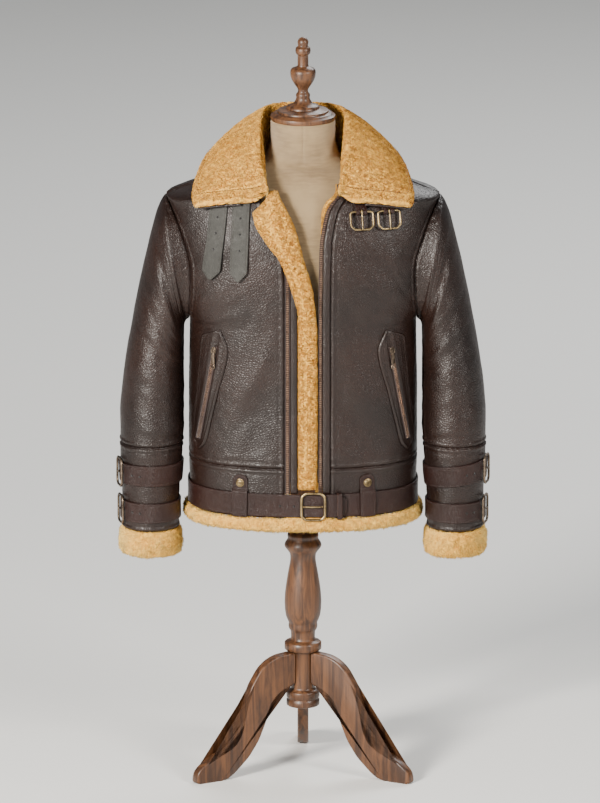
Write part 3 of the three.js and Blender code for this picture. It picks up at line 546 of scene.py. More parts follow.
F, B = Face.FRONT, Face.BACK
BROAD_FOLDS = [Fold(*row) for row in (
    (F, -120, 720, 35, 90, 22, 3.5), (F, 128, 700, -40, 95, 24, 3.5), (F, -170, 900, 60, 70, 20, 4.0),
    (F, 172, 905, -62, 70, 20, 4.0), (F, -90, 640, 12, 80, 18, -3.0), (F, 100, 645, -15, 80, 18, -3.0),
    (F, -150, 985, 48, 60, 18, 3.0), (F, 150, 980, -50, 60, 18, 3.0), (B, -110, 700, -32, 100, 26, 4.0),
    (B, 105, 715, 30, 100, 26, 4.0), (B, -165, 920, -64, 80, 22, 4.5), (B, 165, 915, 62, 80, 22, 4.5),
    (B, 0, 650, 3, 90, 26, -3.5), (B, 30, 1000, 80, 90, 24, 3.0),
)]
# Finer creases that the frame leaves out, placed as they lie on the worn leather
FINE_FOLDS = [Fold(*row) for row in (
    (F, -150, 860, 70, 42, 7, 1.5), (F, -168, 842, 62, 30, 5, -1.4), (F, -125, 902, 52, 46, 8, 1.3),
    (F, -96, 865, 28, 50, 9, -1.2), (F, -70, 790, 12, 60, 8, 1.1), (F, -58, 690, -8, 52, 7, -1.1),
    (F, -95, 742, 22, 46, 7, 1.3), (F, -118, 660, 40, 38, 6, -1.3), (F, -86, 612, 66, 34, 5, 1.2),
    (F, -140, 606, 78, 38, 5, 1.4), (F, -60, 604, 84, 26, 5, 1.0), (F, -178, 770, 14, 44, 6, 1.2),
    (F, -132, 1012, 34, 32, 6, -1.1), (F, -168, 940, 22, 34, 5, 1.4), (F, -182, 905, 30, 26, 4, -1.2),
    (F, 150, 866, -68, 44, 7, 1.6), (F, 170, 838, -58, 30, 5, -1.3), (F, 122, 905, -48, 50, 8, 1.4),
    (F, 92, 870, -30, 44, 8, -1.1), (F, 80, 800, -10, 64, 9, 1.2), (F, 66, 700, 9, 50, 7, -1.2),
    (F, 105, 752, -24, 40, 7, 1.2), (F, 120, 665, -44, 42, 6, -1.3), (F, 92, 610, -64, 36, 5, 1.3),
    (F, 146, 608, -80, 36, 5, 1.2), (F, 176, 776, -12, 48, 6, 1.1), (F, 132, 1000, -36, 34, 6, -1.1),
    (F, 170, 944, -24, 32, 5, 1.3), (F, 184, 902, -32, 26, 4, -1.2), (F, 70, 960, -12, 40, 8, 1.0),
    (B, -140, 850, -66, 46, 8, 1.5), (B, -90, 800, -34, 54, 8, -1.2), (B, -40, 760, -12, 60, 9, 1.1),
    (B, 24, 720, 6, 56, 8, -1.1), (B, 70, 790, 26, 52, 8, 1.2), (B, 132, 845, 64, 44, 7, 1.5),
    (B, 170, 780, 16, 46, 6, 1.1), (B, -172, 770, -14, 46, 6, 1.2), (B, -80, 612, -62, 36, 5, 1.3),
    (B, 12, 606, 84, 40, 5, 1.2), (B, 94, 610, 66, 36, 5, 1.2), (B, -120, 980, -40, 44, 8, 1.2),
    (B, 118, 990, 44, 40, 8, -1.2), (B, -30, 930, 70, 60, 9, 1.0), (B, 50, 880, 84, 56, 8, -1.0),
    (B, -168, 630, -70, 32, 5, -1.2), (B, 160, 628, 74, 30, 5, 1.2), (B, -60, 1060, 74, 40, 7, 0.9),
)]


def fold_height(face: Face, x: Array, z: Array) -> Array:
    """Return the height of every fold of a face at x, z."""
    total = np.zeros(np.broadcast(x, z).shape)
    for fold in BROAD_FOLDS + FINE_FOLDS:
        if fold.face is face:
            total = total + fold.height(x, z)
    return total


def edge_angle(face: Face, z: object) -> Array:
    """Return the section angle at which a face's panel ends, a quarter turn below the armhole."""
    edge = np.abs(BODY.read("fore" if face is Face.FRONT else "aft", z))
    return np.arccos(np.clip((edge / BODY.read(face.value, z)) ** (1 / SQUARENESS), 0, 1))


def widest(face: Face, z: object) -> Array:
    """Return the half width that a face's level section would reach at a quarter turn."""
    return BODY.read("half", z) / np.sin(edge_angle(face, z)) ** SQUARENESS


def at_angle(face: Face, side: object, angle: object, z: object) -> Array:
    """Return points of the smooth body at section angles from the front's or the back's middle."""
    side, angle, z = np.broadcast_arrays(side, angle, np.asarray(z, dtype=float))
    x = side * widest(face, z) * np.sin(np.clip(angle, 0, math.pi / 2)) ** SQUARENESS
    y = BODY.read(face.value, z) * np.maximum(np.cos(angle), 0) ** SQUARENESS
    return np.stack((x, -y if face is Face.FRONT else y, z), axis=-1)


def angle_at_x(face: Face, x: object, z: object) -> Array:
    """Return the section angle of a point x from the centre line."""
    return np.arcsin(np.clip(np.abs(x) / widest(face, z), 0, 1) ** (1 / SQUARENESS))


def normal_at(face: Face, side: object, angle: object, z: object) -> Array:
    """Return outward directions of the smooth body."""
    small = 0.02
    side, angle, z = np.broadcast_arrays(side, angle, np.asarray(z, dtype=float))
    around = (at_angle(face, side, np.minimum(angle + small, math.pi / 2), z)
              - at_angle(face, side, np.maximum(angle - small, 0), z))
    up = at_angle(face, side, angle, z + 3) - at_angle(face, side, angle, z - 3)
    normal = unit(np.cross(around, up))
    facing = -np.cos(angle) if face is Face.FRONT else np.cos(angle)
    outward = np.stack((side * np.sin(angle), facing, np.full(side.shape, 0.2)), axis=-1)
    flip = np.where(np.sum(normal * outward, axis=-1) < 0, -1.0, 1.0)
    return normal * flip[..., None]


def on_body(face: Face, side: object, angle: object, z: object, out: object = 0.0) -> Array:
    """Return points moved out from the body, folds included."""
    side, angle, z, out = np.broadcast_arrays(side, angle, np.asarray(z, dtype=float), out)
    point = at_angle(face, side, angle, z)
    fold = fold_height(face, point[..., 0], z) * np.maximum(np.cos(angle), 0) ** 0.5
    return point + normal_at(face, side, angle, z) * (out + fold)[..., None]


def on_front(x: object, z: object, out: object = 0.0) -> Array:
    """Return points over the front at x, z."""
    x, z, out = np.broadcast_arrays(np.asarray(x, dtype=float), np.asarray(z, dtype=float), out)
    return on_body(Face.FRONT, np.where(x < 0, -1.0, 1.0), angle_at_x(Face.FRONT, x, z), z, out)


def round_point(turn: object, z: object, out: object) -> Array:
    """Return points all round the coat; turn counts quarters from the front's middle towards +X."""
    turn, z, out = np.broadcast_arrays(np.asarray(turn, dtype=float) % 4, np.asarray(z, dtype=float), out)
    quarter = np.floor(turn).astype(int) % 4
    part = turn - quarter
    side = np.where(quarter < 2, 1.0, -1.0)
    share = np.where(quarter % 2 == 0, part, 1 - part)
    front = np.logical_or(quarter == 0, quarter == 3)
    points = np.empty((*turn.shape, 3))
    for face, mask in ((Face.FRONT, front), (Face.BACK, ~front)):
        if mask.any():
            angle = share[mask] * edge_angle(face, z[mask])
            points[mask] = on_body(face, side[mask], angle, z[mask], out[mask])
    return points


def front_turn(x: float, z: float) -> float:
    """Return the turn of a point x from the front's centre line."""
    return float(angle_at_x(Face.FRONT, x, z)) / (math.pi / 2) * math.copysign(1.0, x)


FRONT_EDGE = {
    -1: Table("z x", ((940, 33), (975, 36), (1005, 46), (1040, 60), (1066, 70), (1090, 78), (1112, 79), (1134, 76))),
    1: Table("z x", ((900, 49), (1000, 51), (1022, 54), (1058, 62), (1075, 72), (1090, 84), (1112, 80), (1134, 76))),
}

SLEEVE = Table("t outz outx inz inx deep y", (
    (0, 1066, 245, 840, 203, 82, 3), (1, 1058, 252, 836, 209, 84, 3), (2, 1036, 262, 826, 213, 84, 3),
    (3, 1000, 272, 812, 213.5, 83, 2), (4, 950, 284, 792, 214, 81, 0), (5, 885, 298, 765, 214, 79, -3),
    (6, 815, 311, 735, 214, 77, -8), (7, 740, 323, 695, 214, 74, -14), (8, 670, 329, 650, 214, 71, -19),
    (9, 617, 329, 617, 216, 67, -23), (10, 560, 327, 560, 220, 62, -25), (11, 500, 325, 500, 224, 58, -26),
    (12, 460, 326, 460, 223, 59, -27), (13, 407, 326, 407, 222, 60, -27),
))


@dataclass(frozen=True)
class SleeveCrease:
    """A crease round part of a sleeve: at t down its length, deepest at a turn, of a width in t."""

    t: float
    deep: float
    wide: float
    turn: float
    lean: float = 0.0
    reach: float = 1.0

    def height(self, t: Array, turn: Array) -> Array:
        """Return how far the crease lifts the sleeve at t, turn."""
        facing = 0.5 + 0.5 * np.cos(turn - self.turn)
        middle = self.t + self.lean * np.sin(turn - self.turn)
        from_outer = np.minimum(turn, FULL_TURN - turn)
        return self.deep * bell(t - middle, self.wide) * facing ** self.reach * (1 - np.exp(-from_outer ** 2))


BROAD_CREASES = [SleeveCrease(*row) for row in (
    (1.5, 3.0, 0.5, 0.6), (2.7, -3.0, 0.4, 1.4), (3.8, 3.5, 0.45, 2.4), (5.0, 3.0, 0.4, 4.4), (5.8, -3.5, 0.35, 3.6),
    (6.6, 3.5, 0.35, 0.4), (7.5, -3.0, 0.35, 5.2), (8.2, 2.5, 0.3, 1.8),
)]
FINE_CREASES = [SleeveCrease(*row) for row in (
    (1.1, 1.4, 0.16, 1.3, 0.30, 2.0), (1.9, -1.5, 0.15, 1.9, 0.35, 2.0), (2.4, 1.6, 0.14, 1.1, 0.28, 2.4),
    (3.1, -1.4, 0.13, 1.7, 0.26, 2.2), (3.5, 1.5, 0.12, 1.2, 0.22, 2.6), (4.3, 1.5, 0.13, 1.6, -0.24, 2.2),
    (4.8, -1.7, 0.11, 1.1, 0.20, 2.0), (5.3, 1.7, 0.11, 1.8, -0.18, 2.4), (5.6, -1.4, 0.10, 0.9, 0.16, 2.8),
    (6.2, 1.6, 0.11, 1.5, 0.18, 2.2), (6.9, -1.6, 0.10, 1.0, -0.16, 2.4), (7.2, 1.5, 0.10, 1.9, 0.14, 2.2),
    (7.8, 1.3, 0.09, 1.2, 0.12, 2.4), (8.5, -1.2, 0.09, 1.6, 0.10, 2.0), (8.8, 1.1, 0.08, 0.8, -0.08, 2.0),
    (2.2, 1.5, 0.15, 4.6, 0.30, 2.0), (3.3, -1.5, 0.13, 5.0, -0.25, 2.2), (4.1, 1.6, 0.13, 4.3, 0.22, 2.4),
    (5.4, -1.6, 0.11, 4.9, 0.18, 2.0), (6.4, 1.5, 0.11, 4.4, -0.16, 2.2), (7.1, -1.4, 0.10, 4.8, 0.12, 2.4),
    (8.0, 1.4, 0.09, 4.5, -0.10, 2.0), (9.3, 1.1, 0.07, 1.4, 0.06, 2.0), (10.2, -1.1, 0.10, 1.8, 0.08, 2.0),
    (10.6, 1.2, 0.09, 4.6, 0.07, 2.0), (11.6, 1.0, 0.08, 1.2, -0.06, 2.0),
)]


def sleeve_point(side: float, t: object, turn: object, out: object = 0.0) -> Array:
    """Return points of a sleeve.

    Args:
        side: -1 for the left sleeve of the picture, 1 for the right.
        t: place down the sleeve, a row of the sleeve's table.
        turn: angle round it: 0 outwards, a quarter turn to the front, half a turn towards the body.
        out: distance out from the surface.

    Returns:
        The points, folds included.
    """
    t, turn, out = np.broadcast_arrays(np.asarray(t, dtype=float), np.asarray(turn, dtype=float), out)
    read = {name: SLEEVE.read(name, t) for name in SLEEVE.columns}
    zero = np.zeros(t.shape)
    top = np.stack((read["outx"], zero, read["outz"]), axis=-1)
    low = np.stack((read["inx"], zero, read["inz"]), axis=-1)
    across = (top - low) / 2
    half = np.linalg.norm(across, axis=-1)
    crease = sum(c.height(t, turn) for c in BROAD_CREASES)
    fine = sum(c.height(t, turn) for c in FINE_CREASES) * ease((t - 0.4) / 0.6)
    outer = 0.5 + 0.5 * np.cos(turn)
    grow = out + fine + crease * np.maximum(outer, np.abs(np.sin(turn))) * (t > 0.5)
    point = (top + low) / 2 + across * ((half + grow) / half * np.cos(turn))[..., None]
    point[..., 1] = read["y"] - (read["deep"] + grow) * np.sin(turn)
    point[..., 0] *= side
    return point


PANEL_ZS = (590.3, 650, 710, 770, 815, 840, 850, 866, 895, 935, 975, 1010, 1038, 1056, 1066, 1078, 1096, 1114, 1134)
ARM_ZS = np.array([z for z in PANEL_ZS if UNDERARM_Z <= z <= SHOULDER_Z])


def arm_loop(side: float, finer: int = 1) -> Array:
    """Return the armhole's loop: shoulder point, down the front, underarm, up the back."""
    zs = np.interp(np.linspace(0, len(ARM_ZS) - 1, (len(ARM_ZS) - 1) * finer + 1), np.arange(len(ARM_ZS)), ARM_ZS)
    front = on_body(Face.FRONT, side, edge_angle(Face.FRONT, zs[::-1]), zs[::-1])
    back = on_body(Face.BACK, side, edge_angle(Face.BACK, zs[1:-1]), zs[1:-1])
    return np.concatenate((front, back))


def loop_turns(loop: Array, side: float) -> Array:
    """Return the turns at which the sleeve's first ring lies beside the armhole loop's points."""
    top = np.array((245.0 * side, 0, SHOULDER_Z))
    low = np.array((203.0 * side, 0, UNDERARM_Z))
    across = top - low
    along = (loop - low) @ across / (across @ across)
    turn = np.arccos(np.clip(2 * along - 1, -1, 1))
    return np.where(loop[:, 1] > 1, FULL_TURN - turn, turn)


def sleeve_rings(side: float, ts: Array, out: object, finer: int) -> Array:
    """Return rings of a sleeve, from the armhole's loop to even rings further down.

    Args:
        side: -1 or 1.
        ts: the rings' places down the sleeve.
        out: distance out, one number or one for each ring.
        finer: points between two rows of the panels on the armhole.

    Returns:
        An array of rings, points and coordinates.
    """
    loop = arm_loop(side, finer)
    turns = loop_turns(loop, side)
    even = np.arange(len(turns)) / len(turns) * FULL_TURN
    level = ease(ts / 3)[:, None]
    out = np.broadcast_to(np.asarray(out, dtype=float), ts.shape)[:, None]
    rings = sleeve_point(side, ts[:, None], lerp(turns[None, :], even[None, :], level), out)
    inward = np.array((side * 224.0, 3.0, 953.0)) - loop
    inward[:, 0] = 0
    seam = loop[None] - unit(inward)[None] * out[..., None] + np.array((side * SEAM, 0, 0))
    share = ease(ts)[:, None, None]
    return np.where((ts < 1)[:, None, None], lerp(seam, rings, share), rings)


class Shape:
    """Points and faces gathered for one piece, in millimetres."""

    def __init__(self) -> None:
        """Start with nothing."""
        self.points: list[Array] = []
        self.faces: dict[int, list[Array]] = {4: [], 3: []}
        self.slots: dict[int, list[Array]] = {4: [], 3: []}
        # Tip values pick the wool's colour: 0, the default, as on each wool ground, gives the roots' painted shade, and
        # 1 the tips' painted highlight
        self.tips: list[Array] = []
        self.count = 0

    def add_points(self, points: Array, tip: object = 0.0) -> int:
        """Add points with their tip values and return the first one's number."""
        points = np.asarray(points, dtype=float).reshape(-1, 3)
        self.points.append(points)
        self.tips.append(np.broadcast_to(np.asarray(tip, dtype=float), len(points)).copy())
        self.count += len(points)
        return self.count - len(points)

    def add_faces(self, faces: Array, slot: int = 0) -> None:
        """Add faces with three or four corners, by point numbers, with one material number."""
        corners = faces.shape[-1]
        self.faces[corners].append(np.asarray(faces, dtype=int).reshape(-1, corners))
        self.slots[corners].append(np.full(faces.size // corners, slot))

    def sheet(self, grid: Array, closed: bool = False, flip: bool = False, slot: object = 0) -> int:
        """Add a grid of points joined by quads and return its first point's number."""
        rows, columns = grid.shape[:2]
        start = self.add_points(grid)
        i, j = np.meshgrid(np.arange(rows - 1), np.arange(columns if closed else columns - 1), indexing="ij")
        after = (j + 1) % columns
        quads = np.stack((i * columns + j, i * columns + after, (i + 1) * columns + after, (i + 1) * columns + j), -1)
        quads = quads.reshape(-1, 4) + start
        self.add_faces(quads[:, ::-1] if flip else quads, slot)
        return start

    def wall(self, outer: Array, inner: Array, closed: bool = False, slot: object = 0) -> None:
        """Add a wall between two grids of the same size, closed round its rim."""
        rows, columns = outer.shape[:2]
        a = self.sheet(outer, closed, False, slot)
        b = self.sheet(inner, closed, True)
        j = np.arange(columns if closed else columns - 1)
        after = (j + 1) % columns
        last = (rows - 1) * columns
        self.add_faces(np.stack((a + after, a + j, b + j, b + after), -1))
        self.add_faces(np.stack((a + last + j, a + last + after, b + last + after, b + last + j), -1))
        if not closed:
            i = np.arange(rows - 1) * columns
            end = columns - 1
            self.add_faces(np.stack((a + i, a + i + columns, b + i + columns, b + i), -1))
            self.add_faces(np.stack((a + i + columns + end, a + i + end, b + i + end, b + i + columns + end), -1))

    def tube(self, sections: Array, ring: bool = False, slot: object = 0) -> None:
        """Add a solid through closed sections; a ring joins its ends, otherwise both ends are capped."""
        if ring:
            sections = np.concatenate((sections, sections[:1]))
        start = self.sheet(sections, True, False, slot)
        if not ring:
            rows, columns = sections.shape[:2]
            for row, flip in ((0, True), (rows - 1, False)):
                centre = self.add_points(sections[row].mean(axis=0))
                j = np.arange(columns)
                ring_points = start + row * columns + j
                after = start + row * columns + (j + 1) % columns
                hub = np.full(columns, centre)
                faces = np.stack((after, ring_points, hub) if flip else (ring_points, after, hub), -1)
                self.add_faces(faces, slot)

    def blocks(self, centres: Array, along: Array, up: Array, size: Point, taper: float = 0.7,
               slot: int = 0) -> None:
        """Add small blocks that narrow upwards.

        Args:
            centres: middle of each block's underside.
            along: direction of each block's length.
            up: direction out of the surface.
            size: length, width and height.
            taper: share of the length and width left at the top.
            slot: material number.
        """
        along, up = unit(along), unit(up)
        across = unit(np.cross(up, along))
        corners = []
        for height, share in ((0.0, 1.0), (size[2], taper)):
            for a, b in ((-1, -1), (1, -1), (1, 1), (-1, 1)):
                corners.append(centres + along * a * share * size[0] / 2 + across * b * share * size[1] / 2
                               + up * height)
        start = self.add_points(np.stack(corners, axis=1))
        base = start + 8 * np.arange(len(centres))[:, None]
        for face in ((3, 2, 1, 0), (4, 5, 6, 7), (0, 1, 5, 4), (1, 2, 6, 5), (2, 3, 7, 6), (3, 0, 4, 7)):
            self.add_faces(base + np.array(face), slot)

    def stitches(self, path: Array, up: Array, pitch: float = 4.2, long: float = 3.1,
                 wide: float = 0.9, slot: int = 1) -> None:
        """Add a run of thread stitches along a path, each a small spindle sunk at its ends.

        Args:
            path: points of the run.
            up: direction out of the surface at each point.
            pitch: distance between stitches.
            long: length of a stitch.
            wide: width of the thread.
            slot: material number.
        """
        steps = np.linalg.norm(np.diff(path, axis=0), axis=1)
        run = np.concatenate(([0.0], np.cumsum(steps)))
        number = max(int(run[-1] / pitch), 1)
        at = (np.arange(number) + 0.5) * run[-1] / number
        centre = np.stack([np.interp(at, run, path[:, k]) for k in range(3)], -1)
        ahead = np.stack([np.interp(np.minimum(at + 1, run[-1]), run, path[:, k])
                          - np.interp(np.maximum(at - 1, 0), run, path[:, k]) for k in range(3)], -1)
        out = unit(np.stack([np.interp(at, run, up[:, k]) for k in range(3)], -1))
        ahead = unit(ahead)
        across = unit(np.cross(out, ahead))
        half = long / 2
        spindle = (centre - ahead * half - out * 0.25, centre + ahead * half - out * 0.25,
                   centre + across * wide / 2, centre + out * wide * 0.55, centre - across * wide / 2,
                   centre - out * 0.4)
        start = self.add_points(np.stack(spindle, axis=1))
        base = start + 6 * np.arange(number)[:, None]
        for a, b in ((2, 3), (3, 4), (4, 5), (5, 2)):
            self.add_faces(base + np.array((0, a, b)), slot)
            self.add_faces(base + np.array((1, b, a)), slot)

    def tufts(self, grid: Array, weights: Array, wool: "Wool", seed: int, longer: Array | None = None) -> None:
        """Grow curved tufts of wool from a grid whose rows are closed rings.

        Args:
            grid: rows and columns of base points; the wool grows to the side of the grid's own normal.
            weights: how thick the wool grows on each quad, from 0 to 1.
            wool: the wool's sizes.
            seed: seed of the random numbers.
            longer: how many times as long the wool is on each quad, or None.
        """
        rng = np.random.default_rng(seed)
        grid = np.concatenate((grid, grid[:, :1]), axis=1)
        p00, p01, p10, p11 = grid[:-1, :-1], grid[:-1, 1:], grid[1:, :-1], grid[1:, 1:]
        normal = np.cross(p11 - p00, p10 - p01)
        area = np.linalg.norm(normal, axis=-1) / 2
        share = (area * weights).ravel()
        number = min(int(share.sum() / 100 * wool.per_cm2), wool.most)
        pick = rng.choice(len(share), number, p=share / share.sum())
        u, v = rng.random((2, number, 1))
        corners = [p.reshape(-1, 3)[pick] for p in (p00, p01, p10, p11)]
        foot = lerp(lerp(corners[0], corners[1], u), lerp(corners[2], corners[3], u), v)
        out = -unit(normal.reshape(-1, 3)[pick]) if wool.flip else unit(normal.reshape(-1, 3)[pick])
        fall = np.array(wool.fall) - out * (out @ np.array(wool.fall))[:, None]
        # Neighbouring tufts lean alike, in locks
        swirl = np.stack([lock_noise(foot, wool.lock, shift) for shift in (3.1, 17.7, 41.3)], -1)
        lean = unit(out + fall * wool.lean + swirl * wool.swirl + rng.normal(0, 0.22, (number, 3)))
        curl = unit(lean + swirl * 0.9 + rng.normal(0, 0.4, (number, 3)) - out * 0.25)
        long = wool.long * rng.uniform(0.6, 1.15, (number, 1)) * (0.85 + 0.3 * lock_noise(foot, 8.0, 7.7)[:, None])
        if longer is not None:
            long = long * longer.ravel()[pick][:, None]
        side = unit(np.cross(lean, rng.normal(0, 1, (number, 3))))
        other = np.cross(lean, side)
        rings = []
        for k in range(3):
            angle = FULL_TURN * k / 3
            rings.append(foot - lean * 1.2 + (side * math.cos(angle) + other * math.sin(angle)) * wool.wide / 2)
        rings.append(foot + lean * long * 0.7 + curl * long * 0.4)
        # Tip values: low at the foot for painted shade, high at the point for a painted highlight, its strength varying
        # at random from tuft to tuft
        tips = np.array((0.1, 0.1, 0.1, 1.0)) * rng.uniform(0.5, 1.0, (number, 1))
        start = self.add_points(np.stack(rings, axis=1), tips.ravel())
        base = start + 4 * np.arange(number)[:, None]
        for k in range(3):
            self.add_faces(base + np.array((k, (k + 1) % 3, 3)))

    def piece(self, node_name: str, kind: str, finish: Finish, *more: Material, name: str = "",
              own: Material | None = None, crisp: float | None = None, body: str = ROOT, cut: "Cut | None" = None,
              held: str = "hung", pile: Sequence[Piece] = ()) -> Piece:
        """Args:
            node_name: the node it stands for.
            kind: a word for what it is made of, which ends its name.
            finish: its material unless it has its own.
            more: further materials, for the slots from 1 up.
            name: its name, if it isn't the node's name with the word.
            own: its own material.
            crisp: angle in degrees above which edges stay sharp.
            body: the body that it rides.
            cut: its flat size, for a sheet; not used.
            held: how the sheet is held; not used.
            pile: the wool that grows on it; not used.

        Returns:
            The piece.
        """
        made = self.build(name or f"{node_name}_{kind}", own or MATERIALS[finish], *more, crisp=crisp)
        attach(made, body)
        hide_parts(node_name)
        return made

    def build(self, name: str, *materials: Material, crisp: float | None = None) -> Piece:
        """Make the object.

        Args:
            name: the object's name.
            materials: its materials, in the order of the faces' slots.
            crisp: angle in degrees above which edges stay sharp, or None for smooth all over.

        Returns:
            The object, linked into the scene.
        """
        points = metres(np.concatenate(self.points))
        faces = [face for some in self.faces[4] + self.faces[3] for face in some.tolist()]
        slots = self.slots[4] + self.slots[3]
        mesh = bpy.data.meshes.new(name)
        mesh.from_pydata(points.tolist(), [], faces)
        for material in materials:
            mesh.materials.append(material)
        mesh.polygons.foreach_set("material_index", np.concatenate(slots).astype(np.int32))
        mesh.polygons.foreach_set("use_smooth", np.ones(len(faces), dtype=bool))
        tip = mesh.attributes.new("tip", "FLOAT", "POINT")
        tip.data.foreach_set("value", np.concatenate(self.tips).astype(np.float32))
        mesh.update()
        if crisp is not None:
            mesh.set_sharp_from_angle(angle=math.radians(crisp))
        made = bpy.data.objects.new(name, mesh)
        bpy.context.scene.collection.objects.link(made)
        LOG.info("%s: %d faces", name, len(faces))
        return made


@dataclass(frozen=True)
class Wool:
    """Sizes of clipped wool, in millimetres."""

    long: float = 6.0
    wide: float = 3.0
    per_cm2: float = 14.0
    most: int = 15000
    lean: float = 0.35
    swirl: float = 0.55
    lock: float = 13.0
    fall: Point = (0.0, 0.0, -1.0)
    flip: bool = False


def lock_noise(points: Array, wide: float, shift: float) -> Array:
    """Return smooth values from about -1 to 1 that change over a distance wide, for locks of wool."""
    p = points / wide + shift
    a = np.sin(p[:, 0] * 1.7 + 2.1 * np.sin(p[:, 1] * 1.3 + shift)) * np.cos(p[:, 2] * 1.9 + np.sin(p[:, 0]))
    b = np.sin(p[:, 1] * 2.3 + p[:, 2] * 1.1 + 1.7 * np.sin(p[:, 0] * 0.9 - shift))
    return 0.6 * a + 0.4 * b


def clumps(grid: Array, out: Array, deep: float, wide: float = 7.0) -> Array:
    """Return a grid moved along out by small uneven lumps, as the ground of the wool."""
    flat = grid.reshape(-1, 3)
    height = lock_noise(flat, wide, 5.3) * 0.6 + lock_noise(flat, wide * 0.43, 11.9) * 0.4
    return grid + out * (height * deep).reshape(grid.shape[:2])[..., None]


def grid_normals(grid: Array, closed: bool = False) -> Array:
    """Return the directions square to a grid, to the side that its own quads face."""
    if closed:
        across = np.roll(grid, -1, axis=1) - np.roll(grid, 1, axis=1)
    else:
        across = np.gradient(grid, axis=1)
    down = np.gradient(grid, axis=0)
    return unit(np.cross(across, down))


def spaced(length: float, step: float, close: Sequence[float] = (0.8, 2.0, 3.6, 5.4, 7.2, 9.5, 12.5)) -> Array:
    """Return shares from 0 to 1 of a length, close together by both ends and a step apart between."""
    ends = np.array((0.0, *(c for c in close if c < length * 0.45)))
    between = max(int((length - 2 * ends[-1]) / step), 1)
    middle = np.linspace(ends[-1], length - ends[-1], between + 1)
    return np.concatenate((ends[:-1], middle, length - ends[-2::-1])) / length


def rounded(points: Array, each: int) -> Array:
    """Return a closed curve through points on axis 0, with each times as many of them."""
    before, after, beyond = np.roll(points, 1, 0), np.roll(points, -1, 0), np.roll(points, -2, 0)
    parts = []
    for k in range(each):
        t = k / each
        parts.append(0.5 * (2 * points + (after - before) * t + (2 * before - 5 * points + 4 * after - beyond) * t ** 2
                            + (3 * points - before - 3 * after + beyond) * t ** 3))
    return np.stack(parts, axis=1).reshape(-1, *points.shape[1:])


@dataclass(frozen=True)
class Cut:
    """A piece of cloth as it was cut: flat width and length in metres and its area in square metres."""

    wide: float
    long: float
    area: float


def grow_wool(node_name: str, grid: Array, weights: Array, wool: Wool, seed: int, longer: Array | None = None,
              name: str = "") -> Piece:
    """Make the wool on a grid whose rows are closed rings, as a piece of its own."""
    pile = Shape()
    pile.tufts(grid, weights, wool, seed, longer)
    return pile.piece(node_name, "pile", Finish.WOOL, name=name)


def seam_roll(near: Array) -> Array:
    """Return how the leather rolls under at a seam and swells beside it, by the distance from the seam."""
    return -2.5 * bell(near, 2.6) + 1.2 * bell(near - 5.0, 2.8) - 0.7 * bell(near - 9.6, 1.5)


def arc(grid: Array, axis: int) -> Array:
    """Return the distance of each point of a grid from the grid's first row or column, along an axis."""
    steps = np.linalg.norm(np.diff(grid, axis=axis), axis=-1)
    shape = list(grid.shape[:2])
    shape[axis] = 1
    return np.concatenate((np.zeros(shape), np.cumsum(steps, axis=axis)), axis=axis)


